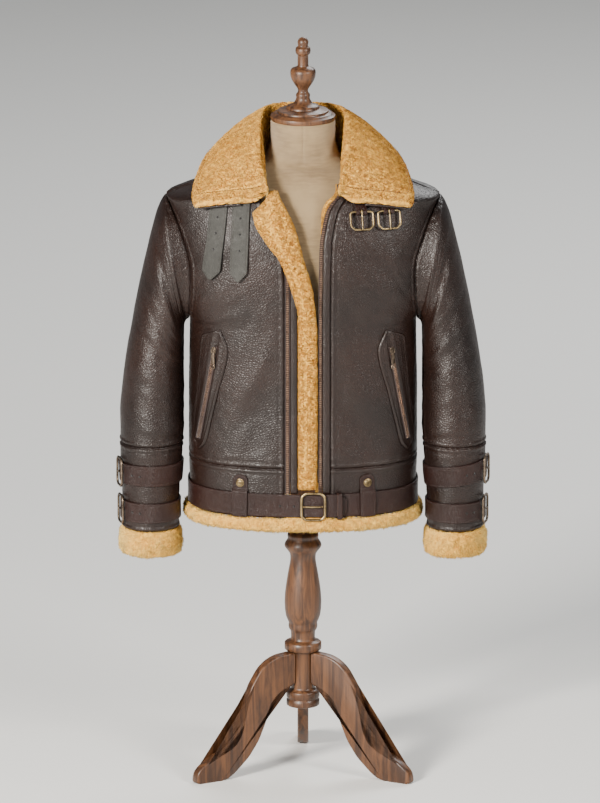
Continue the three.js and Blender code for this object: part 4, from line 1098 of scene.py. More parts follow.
@dataclass(frozen=True)
class Panel:
    """A leather panel of the body: its fine grid, seams, puckers and double stitching.

    The side is -1 or 1 for a front and 0 for a panel right across; low and high are its edges' heights.
    """

    name: str
    face: Face
    side: int
    low: float
    high: float
    cut: Cut

    def rows(self) -> Array:
        """Return the heights of the rows, close together at the seams and the underarm."""
        zs = self.low + spaced(self.high - self.low, 4.6) * (self.high - self.low)
        extra = np.array((840.5, 842, 844, 846.5, 849, 852, 855, 858, 861, 864, 1059, 1062, 1064, 1066, 1068, 1071))
        extra = extra[(extra > self.low + 3) & (extra < self.high - 3)]
        zs = np.sort(np.concatenate((zs, extra)))
        return zs[np.concatenate(([True], np.diff(zs) > 0.4))]

    def grid(self, zs: Array, out: object) -> Array:
        """Return the panel's points at these heights, moved out."""
        z = zs[:, None]
        if self.side == 0:
            share = (2 * spaced(2 * 205, 6.0) - 1)[None, :]
            angle = np.abs(share) * edge_angle(self.face, z)
            points = on_body(self.face, np.where(share < 0, -1.0, 1.0), angle, z, out)
        else:
            share = spaced(200, 4.2)[None, :]
            inner = angle_at_x(self.face, FRONT_EDGE[self.side].read("x", z), z)
            points = on_body(self.face, float(self.side), lerp(inner, edge_angle(self.face, z), share), z, out)
        if self.face is Face.FRONT:
            points[..., 1] = np.minimum(points[..., 1], -SEAM / 2)
        else:
            points[..., 1] = np.maximum(points[..., 1], SEAM / 2)
        return points

    def relief(self, grid: Array) -> Array:
        """Return the fine height of the leather over a grid: seams rolled under, puckers and small dents."""
        across, up = arc(grid, 1), arc(grid, 0)
        wide, tall = across[:, -1:], up[-1:, :]
        z = grid[..., 2]
        first = np.minimum(across, 60.0) if self.side == 0 else across
        last = wide - across
        relief = seam_roll(last) + seam_roll(first)
        relief += seam_roll(up) + seam_roll(tall - up)
        # Puckers square to the side seam and the armhole
        pitch = 11.0 + 2.5 * np.sin(z / 31.0 + self.side)
        ripple = np.cos(FULL_TURN * z / pitch + 0.8 * np.sin(z / 13.0))
        above = ease((z - UNDERARM_Z) / 20)
        relief += (0.35 + 1.0 * above) * ripple * bell(last - 6.5, 5.5)
        if self.side == 0:
            relief += (0.35 + 1.0 * above) * ripple * bell(first - 6.5, 5.5)
        else:
            relief += 0.3 * np.cos(FULL_TURN * z / 17 + np.sin(z / 19)) * bell(across - 7, 6)
        relief += 0.4 * np.cos(FULL_TURN * grid[..., 0] / 19 + np.sin(grid[..., 0] / 17)) * bell(up - 8, 7)
        flat = grid.reshape(-1, 3)
        dents = 0.45 * lock_noise(flat, 26.0, 2.2) + 0.22 * lock_noise(flat, 11.0, 9.4)
        return relief + dents.reshape(grid.shape[:2])

    def seam_runs(self, outer: Array) -> Iterable[tuple[Array, Array]]:
        """Yield the paths of the panel's stitching and the directions out of the leather along them."""
        normals = self.out_normals(outer)
        across, up = arc(outer, 1), arc(outer, 0)
        wide = across[:, -1]
        sides = [wide - d for d in (4.0, 9.4)]
        if self.side == 0:
            sides += [np.full(len(wide), d) for d in (4.0, 9.4)]
        else:
            sides += [np.full(len(wide), 5.0)]
        for target in sides:
            yield self.trace(outer, across, target), self.trace(normals, across, target)
        tall = up[-1]
        edges = [np.full(len(tall), 4.0), np.full(len(tall), 8.8)]
        if self.high > 1000 or self.high < 600:
            edges.append(tall - 4.0)
        for target in edges:
            flipped = np.swapaxes(outer, 0, 1)
            yield (self.trace(flipped, up.T, target),
                   self.trace(np.swapaxes(normals, 0, 1), up.T, target))

    @staticmethod
    def trace(values: Array, along: Array, target: Array) -> Array:
        """Return for each row of values the one at a target distance along the row."""
        path = [[np.interp(t, d, row[:, k]) for k in range(row.shape[1])] for row, d, t in zip(values, along, target)]
        return np.array(path)

    def out_normals(self, grid: Array) -> Array:
        """Return the grid's normals, turned away from the body's middle."""
        normals = grid_normals(grid)
        flip = np.where(np.sum(normals * grid * np.array((1, 1, 0)), axis=-1) < 0, -1.0, 1.0)
        return normals * flip[..., None]

    def build(self) -> Piece:
        """Make the panel."""
        zs = self.rows()
        smooth = self.grid(zs, 0.0)
        out = self.out_normals(smooth)
        across = arc(smooth, 1)
        near = bell(across[:, -1:] - across, 7.0) + (bell(across, 7.0) if self.side == 0 else 0.0)
        out[..., 0] *= 1 - np.minimum(near, 1.0)
        outer = smooth + out * self.relief(smooth)[..., None]
        inner = self.grid(zs, -WALL)
        shape = Shape()
        turn = slice(None, None, -1 if self.side < 1 else 1)
        shape.wall(outer[:, turn], inner[:, turn])
        if self.face is Face.BACK:
            outer = outer[:, turn]
        for path, up in self.seam_runs(outer):
            shape.stitches(path, up)
        shape.piece(self.name, "leather", Finish.LEATHER, THREAD, cut=self.cut)


@dataclass(frozen=True)
class Strip:
    """A narrow piece that follows the front.

    It has rows at the heights zs, between the x that left and right give, and lies from low to high out.
    """

    zs: Array
    left: Callable
    right: Callable
    low: float
    high: float

    def grid(self, columns: Array, out: float) -> Array:
        """Return the strip's points at these shares of its width, moved out."""
        a, b = (np.array([edge(v) for v in self.zs])[:, None] for edge in (self.left, self.right))
        return on_front(lerp(a, b, columns[None, :]), self.zs[:, None], out)

    def solid(self, shape: Shape, crown: float = 0.0, count: int = 8) -> Array:
        """Add the strip with rounded edges and return its outer grid."""
        columns = np.concatenate(([0.0, 0.06], np.linspace(0.16, 0.84, count), [0.94, 1.0]))
        lift = np.interp(columns, (0, 0.06, 0.16, 0.84, 0.94, 1), (-1.1, -0.35, 0, 0, -0.35, -1.1))
        lift = lift + crown * np.sin(math.pi * columns)
        outer = self.grid(columns, self.high)
        normal = unit(outer - self.grid(columns, self.high - 1.0))
        outer = outer + normal * lift[None, :, None]
        shape.wall(outer, self.grid(columns, self.low))
        return outer


BELT_LOW, BELT_HIGH = 503.0, 545.0


def open_edge(z: float) -> float:
    """Return the x of the right front's zip edge at a height."""
    return float(FRONT_EDGE[1].read("x", z)) - 21.3


@dataclass(frozen=True)
class TeethSize:
    """A zip tooth in millimetres, and the distance between teeth."""

    long: float = 5.2
    wide: float = 1.9
    high: float = 1.6
    pitch: float = 3.5


@dataclass(frozen=True)
class Closure:
    """The front edges: zip tapes with their teeth and the raised strips beside them."""

    teeth: TeethSize = TeethSize()

    def zs(self, high: float) -> Array:
        """Return close rows from the belt up to a height."""
        return np.linspace(BELT_HIGH, high, int((high - BELT_HIGH) / 4.5))

    def teeth_run(self, shape: Shape, x_of: Callable, low: float, high: float, out: float) -> None:
        """Add a row of teeth along x_of(z), standing out from the front."""
        z = np.arange(low, high, self.teeth.pitch)
        x = np.array([x_of(v) for v in z])
        foot = on_front(x, z, out)
        shape.blocks(foot, on_front(x + 2, z, out) - foot, on_front(x, z, out + 1) - foot,
                     (self.teeth.long, self.teeth.wide, self.teeth.high), 0.72, 0)

    def build(self) -> None:
        """Make both zips and both strips."""
        left_high, right_high = 975.0, 1104.0
        sides = (
            ("zip_left", "strip_left", left_high, lambda z: -32.7, lambda z: -23.0, 1.0, 0.6,
             lambda z: -22.7, lambda z: -9.3, -3.0, Cut(0.012, 0.43, 0.0051), Cut(0.018, 0.43, 0.0077)),
            ("zip_right", "strip_right", right_high, open_edge, lambda z: open_edge(z) + 7, -0.5, 0.6,
             lambda z: open_edge(z) + 7.3, lambda z: open_edge(z) + 21, -4.0, Cut(0.01, 0.58, 0.0055),
             Cut(0.018, 0.58, 0.0104)),
        )
        for tape_name, strip_name, high, a, b, face, strip_face, c, d, low, tape_cut, strip_cut in sides:
            tape, teeth = Shape(), Shape()
            Strip(self.zs(high), a, b, low, face).solid(tape, 0.0, 4)
            self.teeth_run(teeth, lambda z, a=a, b=b: (a(z) + b(z)) / 2, BELT_HIGH + 2, high - 3, face)
            tape.piece(tape_name, "tape", Finish.TAPE, crisp=35, cut=tape_cut)
            teeth.piece(tape_name, "teeth", Finish.TAPE, own=COPPER, crisp=35)
            leather = Shape()
            strip = Strip(self.zs(high), c, d, -4.0, strip_face)
            outer = strip.solid(leather, 0.9)
            for column in (3, -4):
                path = outer[:, column]
                leather.stitches(path, on_front(path[:, 0], path[:, 2], 1.0) - on_front(path[:, 0], path[:, 2], 0.0))
            leather.piece(strip_name, "leather", Finish.LEATHER, THREAD, cut=strip_cut)


class Lining:
    """The wool that shows behind the right front's edge, from under the collar down the neck opening."""

    LOW, HIGH = 1022.0, 1106.0

    def build(self) -> None:
        """Make the band of wool on the strip's inner side."""
        zs = np.linspace(self.LOW, self.HIGH, 40)[:, None]
        edge = FRONT_EDGE[1].read("x", zs) - 21.3
        shown = 10.0 * ease((zs - self.LOW) / 60) * (1 - ease((zs - 1078) / 26))
        controls = [on_front(edge + a - shown * b, zs, c)[:, 0]
                    for a, b, c in ((6, 0, -5.2), (0, 0.2, -3.6), (0, 0.8, -3.6), (0, 1, -6.5), (0, 0.8, -9.5),
                                    (6, 0, -9.5))]
        grid = np.moveaxis(rounded(np.stack(controls), 4), 0, 1)
        shape = Shape()
        shape.tube(grid)
        centre = grid.mean(axis=1, keepdims=True)
        normal = np.cross(grid[1:, 1:] - grid[:-1, :-1], grid[1:, :-1] - grid[:-1, 1:])
        outward = np.sum(normal * (grid - centre)[:-1, :-1], axis=-1).mean() > 0
        wool = Wool(long=4.2, wide=1.9, per_cm2=60.0, most=4000, lock=7.0, swirl=0.4, flip=bool(outward))
        pile = grow_wool("strip_right", grid, np.ones((39, grid.shape[1])), wool, RNG_SEED + 9, name="lining_pile")
        shape.piece("strip_right", "wool", Finish.WOOL, name="lining_wool", cut=Cut(0.02, 0.09, 0.0017), pile=(pile,))


@dataclass(frozen=True)
class Sided:
    """A part that comes twice, with its side: -1 for the left of the picture and 1 for the right."""

    side: int

    @property
    def word(self) -> str:
        """Return the side's word."""
        return "left" if self.side < 0 else "right"


class Sleeve(Sided):
    """One sleeve: its upper part and the lower part below the cross seam."""

    UPPER = Cut(0.50, 0.42, 0.150)
    LOWER = Cut(0.36, 0.157, 0.054)

    def part(self, name: str, low: float, high: float, step: float, cut: Cut) -> None:
        """Make the sleeve between two rows of its table.

        Args:
            name: the node it stands for.
            low: first row.
            high: last row.
            step: distance between rings, in rows of the table.
            cut: its flat size.
        """
        length = 50.0 if low < 5 else 46.0
        ends = np.array((0.0, 0.8, 2.0, 3.6, 5.4, 7.4, 9.6, 12.5)) / length
        middle = np.arange(low + ends[-1] + step, high - ends[-1], step)
        ts = np.concatenate((low + ends, middle, high - ends[::-1]))
        smooth = sleeve_rings(self.side, ts, 0.0, 7)
        inner = sleeve_rings(self.side, ts, -WALL, 7)
        out = unit(smooth - inner)
        down = arc(smooth, 0)
        tall = down[-1:]
        around = arc(smooth, 1)
        ring = around / np.maximum(around[:, -1:], 1)
        relief = seam_roll(down) * (0.7 if low < 1 else 1.0) + seam_roll(tall - down)
        ripples = np.round(around[:, -1:].mean() / 12.0)
        ripple = np.cos(FULL_TURN * ring * ripples + 1.2 * np.sin(FULL_TURN * ring * 5))
        relief += (1.1 if low < 1 else 0.35) * ripple * bell(down - 7.5, 6) + 0.35 * ripple * bell(tall - down - 7, 6)
        flat = smooth.reshape(-1, 3)
        relief += (0.45 * lock_noise(flat, 24.0, 2.9) + 0.22 * lock_noise(flat, 10.5, 8.1)).reshape(relief.shape)
        # The seam down the inner side, towards the body
        seam_at = 0.46
        relief += seam_roll(np.abs(ring - seam_at) * around[:, -1:]) * 0.8
        outer = smooth + out * relief[..., None]
        shape = Shape()
        if low < 1:
            # Seam allowance under the panels' edges
            tuck = np.array((-self.side * 1.3, 0.0, 0.0))
            outer = np.concatenate(((smooth[:1] - out[:1] * 3.4 + tuck), outer))
            inner = np.concatenate((inner[:1] + tuck, inner))
            out, down = np.concatenate((out[:1], out)), np.concatenate((down[:1] - 4, down))
        if self.side > 0:
            shape.wall(outer[:, ::-1], inner[:, ::-1], True)
        else:
            shape.wall(outer, inner, True)
        self.stitching(shape, outer, out, down, tall, low)
        shape.piece(name, "leather", Finish.LEATHER, THREAD, cut=cut)

    @staticmethod
    def stitching(shape: Shape, outer: Array, out: Array, down: Array, tall: Array,
                  low: float) -> None:
        """Add the double rows at the seams and the row down the inner seam."""
        closed = np.concatenate((np.arange(outer.shape[1]), [0]))
        distances = [(down, 4.0), (down, 9.4)] if low < 1 else [(down, 4.0)]
        distances.append((tall - down, 4.0))
        if low < 1:
            distances.append((tall - down, 9.0))
        for away, target in distances:
            rows = np.argmin(np.abs(away - target), axis=0)
            columns = np.arange(outer.shape[1])
            path, up = outer[rows, columns][closed], out[rows, columns][closed]
            shape.stitches(path, up)
        for share in (0.44, 0.48):
            column = int(share * outer.shape[1])
            shape.stitches(outer[:, column], out[:, column])

    def build(self) -> None:
        """Make both parts of the sleeve."""
        self.part(f"sleeve_{self.word}", 0.0, 8.997, 0.105, self.UPPER)
        self.part(f"sleeve_lower_{self.word}", 9.003, 12.0, 0.09, self.LOWER)


@dataclass(frozen=True)
class FurRoll:
    """A roll of wool all round an edge: the hem or a cuff.

    It runs from low to high, stands out and goes in by out and inn, and ring gives the points all round at a height
    and a distance out.
    """

    node_name: str
    low: float
    high: float
    out: float
    inn: float
    ring: Callable
    wool: Wool
    cut: Cut
    seed: int

    def build(self) -> None:
        """Make the roll with its wool."""
        middle, tall = (self.low + self.high) / 2, (self.high - self.low) / 2
        angles = circle(28)
        layers = []
        for angle in angles:
            dz = tall * math.copysign(abs(math.sin(angle)) ** 0.8, math.sin(angle))
            reach = math.copysign(abs(math.cos(angle)) ** 0.7, math.cos(angle))
            layers.append(self.ring(middle + dz * 0.93, reach * ((self.out if reach > 0 else self.inn) - 2.5)))
        grid = np.stack(layers, axis=1)
        middle_line = grid.mean(axis=1, keepdims=True)
        ground = clumps(grid, unit(grid - middle_line), 1.5)
        shape = Shape()
        shape.tube(ground, ring=True)
        closed = np.concatenate((ground, ground[:1]))
        normal = np.cross(closed[1:, 0] - closed[:-1, 0], closed[:-1, 1] - closed[:-1, 0])
        inward = np.sum(normal * (closed[:-1, 0] - middle_line[:, 0]), axis=-1).mean() > 0
        weights = np.ones((len(grid), len(angles)))
        weights[:, np.cos(angles) < -0.4] = 0.45
        wool = replace(self.wool, flip=bool(inward))
        pile = grow_wool(self.node_name, closed, weights, wool, self.seed)
        shape.piece(self.node_name, "wool", Finish.WOOL, cut=self.cut, pile=(pile,))


class Lapel:
    """The wool edge of the left front: a lapel on the chest and a narrow placket below it."""

    TABLE = Table("z left right under thick", (
        (554, -8.6, 24, -4, 13), (700, -8.6, 25, -4, 13), (850, -8.6, 24, -4, 13), (872, -8.6, 22, 1.3, 10),
        (921, -20, 16, 1.3, 12), (973, -40, 1, 1.3, 14), (1005, -63, -8, 1.3, 15), (1040, -84, -20, 1.3, 16),
        (1056, -87, -28, 1.3, 14), (1068, -76, -34, 1.3, 13), (1080, -66, -40, 1.3, 12), (1092, -59, -45, 1.0, 9),
    ))
    SHAPE = np.array(((0, 0), (0.5, 0), (1, 0), (1.02, 0.5), (0.9, 0.88), (0.55, 0.98), (0.12, 0.9), (-0.02, 0.5)))
    WOOL = Wool(long=4.4, wide=1.9, per_cm2=60.0, most=14500, lock=7.0, swirl=0.4)
    CUT = Cut(0.075, 0.53, 0.0225)

    def build(self) -> None:
        """Make the lapel with its wool and its lengthwise crease."""
        zs = np.unique(np.concatenate((np.linspace(554, 872, 80), np.linspace(872, 1092, 76))))[:, None]
        read = {name: self.TABLE.read(name, zs) for name in ("left", "right", "under", "thick")}
        controls = []
        for s, t in self.SHAPE:
            thick = read["thick"] - 2.2
            x = lerp(read["left"] + 1.6, read["right"] - 1.2, s)
            controls.append(on_front(x, zs, read["under"] + t * thick)[:, 0])
        grid = np.moveaxis(rounded(np.stack(controls), 5), 0, 1)
        centre = grid.mean(axis=1, keepdims=True)
        out = unit(grid - centre)
        share = np.arange(grid.shape[1]) / grid.shape[1]
        crease = 1.6 * bell(share - 0.66, 0.02)
        ground = clumps(grid, out, 1.0, 6.0) - out * crease[None, :, None]
        shape = Shape()
        shape.tube(ground)
        normal = np.cross(ground[1:, 1:] - ground[:-1, :-1], ground[1:, :-1] - ground[:-1, 1:])
        outward = np.sum(normal * out[:-1, :-1], axis=-1).mean() > 0
        weights = np.ones((grid.shape[0] - 1, grid.shape[1]))
        weights[:, share < 0.2] = 0.0
        weights[:, np.abs(share - 0.66) < 0.02] = 0.35
        wool = replace(self.WOOL, flip=bool(outward))
        pile = grow_wool("fur_placket", ground, weights, wool, RNG_SEED + 1)
        shape.piece("fur_placket", "wool", Finish.WOOL, cut=self.CUT, pile=(pile,))


class Collar:
    """The turned-down collar: wool on the stand and the fall, leather beneath."""

    TABLE = Table("s nx ny nz fx fy fz ox oy oz", (
        (0, 0, 70, 1142, 0, 79, 1212, 0, 134, 1118), (1, 40, 62, 1142, 40, 72, 1212, 62, 130, 1120),
        (2, 68, 30, 1144, 68, 46, 1211, 132, 98, 1130), (3, 74, -4, 1144, 78, 10, 1201, 170, 36, 1126),
        (4, 72, -36, 1140, 80, -34, 1181, 190, -24, 1108), (5, 70, -68, 1124, 78, -76, 1146, 200, -78, 1080),
        (6, 66, -95, 1086, 64, -119, 1095, 197, -106, 1068),
    ))
    FALL_THICK = 14.0
    STAND_THICK = 9.0
    UNDER_EDGE = 0.92
    BORDER = 18.0              # the stitched line lies this far in from the edge
    WOOL = Wool(long=5.0, wide=2.1, per_cm2=50.0, most=42000, lock=9.0, swirl=0.4)
    CUT = Cut(0.80, 0.18, 0.110)
    UNDER_CUT = Cut(0.78, 0.08, 0.049)

    def at(self, s: Array, letter: str) -> Array:
        """Return the neck seam's (n), the fold's (f) or the outer edge's (o) points at stations."""
        side = np.where(s < 0, -1.0, 1.0)
        read = [self.TABLE.read(letter + axis, np.abs(s)) for axis in "xyz"]
        return np.stack((side * read[0], read[1], read[2]), axis=-1)

    def face(self, s: Array) -> Array:
        """Return the direction out of the fall's face at stations."""
        def fold_at(t: Array) -> Array:
            x, y = (self.TABLE.read(name, np.abs(t)) for name in ("fx", "fy"))
            return np.stack((np.sign(t) * x, y, 0 * t), -1)

        edge = np.clip(s, -5.9, 5.9)
        ahead = unit(fold_at(edge + 0.1) - fold_at(edge - 0.1))
        face = unit(np.cross(self.at(s, "o") - self.at(s, "f"), ahead))
        return np.where(face[..., 2:] < 0, -face, face)

    def on_fall(self, s: Array, w: float, out: object) -> Array:
        """Return points of the fall, w from the fold (0) to the outer edge (1), moved out."""
        fold, outer, face = self.at(s, "f"), self.at(s, "o"), self.face(s)
        end = ease(np.abs(s) - 5)
        crown = 9 * math.sin(math.pi * w) * (1 - 0.5 * end)
        dip = 10 * end * math.sin(math.pi * min(1.0, w * 1.1) ** 0.5)
        point = fold + (outer - fold) * w + face * (np.asarray(out) + crown)[..., None]
        point[..., 2] -= dip
        return point

    def section(self, s: Array, less: float) -> Array:
        """Return the control points of the collar's sections at stations, thinner all round by less."""
        neck, fold, outer = self.at(s, "n"), self.at(s, "f"), self.at(s, "o")
        half = self.FALL_THICK / 2 - less
        stand_half = self.STAND_THICK / 2 - less * 0.6
        inward = unit(np.stack((-np.sign(s) * self.TABLE.read("fx", np.abs(s)), -self.TABLE.read("fy", np.abs(s)),
                                0 * s), -1))
        stand = np.linalg.norm(neck - fold, axis=-1)
        crotch = np.minimum(0.62, 26 / stand)[:, None]
        zero = np.zeros(len(s))
        up = np.array((0.0, 0.0, half))
        start = 24 / np.linalg.norm(outer - fold, axis=-1)
        fall_start = np.stack([self.on_fall(s[i:i + 1], float(w), zero[:1] - half)[0] for i, w in enumerate(start)])
        top = [self.on_fall(s, w, zero + half * (0.9 if w > 0.9 else 1.0)) for w in (0.1, 0.35, 0.65, 0.9)]
        under = [self.on_fall(s, w, zero - half) for w in (self.UNDER_EDGE, 0.6, 0.36)]
        edge = self.on_fall(s, 1.0 - less / 130, zero)
        return np.stack([neck + inward * stand_half, lerp(fold, neck, 0.5) + inward * stand_half,
                         fold + inward * half * 0.8, fold + up, *top, edge, *under, fall_start,
                         lerp(fold, neck, crotch) - inward * stand_half, neck - inward * stand_half])

    def build(self) -> None:
        """Make the collar with its wool and border, and the leather beneath it."""
        s = np.concatenate(([-6.0, -5.985, -5.95], np.linspace(-5.9, 5.9, 216), [5.95, 5.985, 6.0]))
        controls = self.section(s, 2.2)
        # The stand's seam reaches down to the leather at the sides of the neck
        for row in (0, -1):
            controls[row, :, 2] -= 4.5 * (1 - ease((np.abs(s) - 4.2) / 0.6))
        grid = np.moveaxis(rounded(controls, 4), 0, 1)
        centre = grid.mean(axis=1, keepdims=True)
        ends = np.clip((6.0 - np.abs(s)) / 0.12, 0, 1)
        grid = centre + (grid - centre) * (0.985 + 0.015 * ease(ends))[:, None, None]
        normals = grid_normals(grid, True)
        lead = self.on_fall(s, 0.5, np.full(len(s), self.FALL_THICK / 2)) - self.on_fall(s, 0.5, np.zeros(len(s)))
        if np.sum(normals[:, 20] * lead, axis=-1).mean() < 0:
            normals = -normals
        # Columns 16 to 32 run over the fall's face, from the fold to the outer edge
        across = arc(grid, 1)
        to_edge = np.abs(across[:, 32:33] - across)
        along = arc(grid, 0)
        front = np.minimum(along, along[-1:] - along)
        border = np.minimum(to_edge, front)
        on_face = ((np.arange(grid.shape[1]) >= 14) & (np.arange(grid.shape[1]) <= 33))[None, :]
        groove = 3.2 * bell(border - self.BORDER, 2.4) * on_face
        ground = clumps(grid, normals, 1.3) - normals * groove[..., None]
        shape = Shape()
        shape.tube(ground)
        quads = np.cross(ground[1:, 1:] - ground[:-1, :-1], ground[1:, :-1] - ground[:-1, 1:])
        outward = np.sum(quads * normals[:-1, :-1], axis=-1).mean() > 0
        weights = np.ones((grid.shape[0] - 1, grid.shape[1]))
        weights[:, 36:56] = 0.0
        weights *= (1 - 0.95 * bell(border - self.BORDER, 2.6) * on_face)[:-1]
        longer = np.ones(weights.shape)
        longer[:, 2:14] = 1.9
        wool = replace(self.WOOL, flip=bool(outward))
        pile = grow_wool("collar", ground, weights, wool, RNG_SEED + 2, longer)
        self.border_stitches(shape, ground, normals, to_edge, front)
        shape.piece("collar", "wool", Finish.WOOL, WOOL_THREAD, cut=self.CUT, held="folded", pile=(pile,))
        self.under()

    def border_stitches(self, shape: Shape, ground: Array, normals: Array, to_edge: Array,
                        front: Array) -> None:
        """Add the stitched line that runs round the fall, a little way in from its edges.

        Args:
            shape: what it is added to.
            ground: the wool's ground, stations by columns.
            normals: the directions out of it.
            to_edge: distance of each point from the outer edge.
            front: distance of each point from the nearer front end.
        """
        columns, middle = np.arange(32, 14, -1), len(ground) // 2
        runs = [(np.arange(len(ground)), to_edge, front, False)]
        runs += [(rows, front, to_edge, True) for rows in (np.arange(middle), np.arange(len(ground) - 1, middle, -1))]
        for rows, near, other, flip in runs:
            picked = [field[rows][:, columns] for field in (near, other[..., None], ground, normals)]
            near_rows, *values = [np.swapaxes(field, 0, 1) if flip else field for field in picked]
            target = np.full(len(near_rows), self.BORDER)
            away, line, out = (Panel.trace(value, near_rows, target) for value in values)
            keep = away[:, 0] > self.BORDER
            shape.stitches((line + out * 3.4)[keep], out[keep], 4.6, 3.9, 2.2)

    def under(self) -> None:
        """Make the leather under the fall, with a turned edge and a row of stitching."""
        s = np.linspace(-6, 6, 180)
        gap = self.FALL_THICK / 2 + SEAM
        ws = np.array((self.UNDER_EDGE, 0.915, 0.9, 0.87, 0.84, 0.8, 0.72, 0.64, 0.56, 0.48, 0.42, 0.38, 0.36))
        out = np.full(len(s), -gap)
        outer = np.stack([self.on_fall(s, float(w), out) for w in ws], axis=1)
        inner = np.stack([self.on_fall(s, float(w), out - 2.0) for w in ws], axis=1)
        shape = Shape()
        shape.wall(outer[::-1], inner[::-1])
        down = unit(inner - outer)
        shape.stitches(inner[:, 3], down[:, 3])
        shape.piece("undercollar", "leather", Finish.LEATHER, THREAD, cut=self.UNDER_CUT, held="folded")


@dataclass(frozen=True)
class Place:
    """A local frame on a surface, in millimetres: r level, u up along the surface, n out of it."""

    origin: Array
    r: Array
    u: Array
    n: Array

    @classmethod
    def on(cls, origin: Array, normal: Array) -> "Place":
        """Return the frame at a point with this direction out."""
        n = unit(np.asarray(normal, dtype=float))
        r = unit(np.cross((0.0, 0.0, 1.0), n))
        return cls(np.asarray(origin, dtype=float), r, unit(np.cross(n, r)), n)

    @classmethod
    def on_chest(cls, x: float, z: float) -> "Place":
        """Return the frame over the front at x, z."""
        side = -1.0 if x < 0 else 1.0
        return cls.on(on_front(x, z), normal_at(Face.FRONT, side, angle_at_x(Face.FRONT, x, z), z))

    def at(self, a: object, b: object, c: object) -> Array:
        """Return the points a along, b up and c out."""
        a, b, c = np.broadcast_arrays(np.asarray(a, dtype=float), b, c)
        return self.origin + a[..., None] * self.r + b[..., None] * self.u + c[..., None] * self.n


def cut_rectangle(wide: float, high: float, cut: float) -> Array:
    """Return the outline of a centred rectangle with cut corners."""
    w, h = wide / 2, high / 2
    return np.array(((w, -h + cut), (w, h - cut), (w - cut, h), (-w + cut, h), (-w, h - cut), (-w, -h + cut),
                     (-w + cut, -h), (w - cut, -h)))


def soften(outline: Array, radius: float, each: int = 5) -> Array:
    """Return a closed outline with each corner drawn as a small arc of about this radius."""
    points = []
    for i, corner in enumerate(outline):
        before, after = outline[i - 1], outline[(i + 1) % len(outline)]
        a, b = before - corner, after - corner
        reach_a = min(radius, np.linalg.norm(a) * 0.45)
        reach_b = min(radius, np.linalg.norm(b) * 0.45)
        start, end = corner + a / np.linalg.norm(a) * reach_a, corner + b / np.linalg.norm(b) * reach_b
        for t in np.linspace(0, 1, each):
            points.append(start * (1 - t) ** 2 + corner * 2 * t * (1 - t) + end * t * t)
    return np.array(points)


def wire_loop(shape: Shape, place: Place, outline: Array, out: float, radius: float, sides: int = 12,
              slot: int = 0, flat: float = 1.0) -> None:
    """Add a closed wire through an outline.

    Args:
        shape: what it is added to.
        place: the local frame.
        outline: points along and up.
        out: distance of the wire's middle out of the frame.
        radius: the wire's radius.
        sides: points round the wire.
        slot: material number.
        flat: share of the radius in the outward direction.
    """
    ahead = np.roll(outline, -1, 0) - np.roll(outline, 1, 0)
    across = unit(np.stack((ahead[:, 1], -ahead[:, 0]), -1))
    turns = circle(sides)
    flatly = outline[:, None, :] + across[:, None, :] * radius * np.cos(turns)[None, :, None]
    sections = place.at(flatly[..., 0], flatly[..., 1], out + flat * radius * np.sin(turns)[None, :])
    shape.tube(sections[::-1], ring=True, slot=slot)


def rod(shape: Shape, place: Place, path: Sequence[Point], radius: object, level: bool, sides: int = 12,
        slot: int = 0) -> None:
    """Add a rod through points along, up and out that lie in one plane; level if it runs along r."""
    path = np.array(path, dtype=float)
    dense = np.stack([np.interp(np.linspace(0, len(path) - 1, 6 * len(path)), np.arange(len(path)), path[:, k])
                      for k in range(3)], -1)
    for _ in range(3):
        dense[1:-1] = (dense[:-2] + 2 * dense[1:-1] + dense[2:]) / 4
    points = place.at(dense[:, 0], dense[:, 1], dense[:, 2])
    side = place.u if level else place.r
    ahead = unit(np.gradient(points, axis=0))
    other = unit(np.cross(ahead, side))
    radii = np.broadcast_to(np.asarray(radius, dtype=float), len(points)).copy()
    radii[0] *= 0.55
    radii[-1] *= 0.55
    turns = circle(sides)
    sections = (points[:, None] + side * (radii[:, None] * np.cos(turns))[..., None]
                + other[:, None] * (radii[:, None] * np.sin(turns))[..., None])
    shape.tube(sections, slot=slot)


def pad(shape: Shape, place: Place, outline: Array, low: float, high: float, edge: float = 0.6,
        slot: int = 0) -> None:
    """Add a flat plate with rounded rims on a local frame."""
    middle = outline.mean(axis=0)
    layers = []
    reach = np.linalg.norm(outline - middle, axis=1).max()
    for share, height in ((0.0, low), (1.0, low), (1.0, high - edge), (0.7, high - edge * 0.3), (0.0, high)):
        inset = edge * (1 - share) / reach
        layers.append(place.at(*(middle + (outline - middle) * (1 - inset)).T, height))
    shape.tube(np.stack(layers), slot=slot)


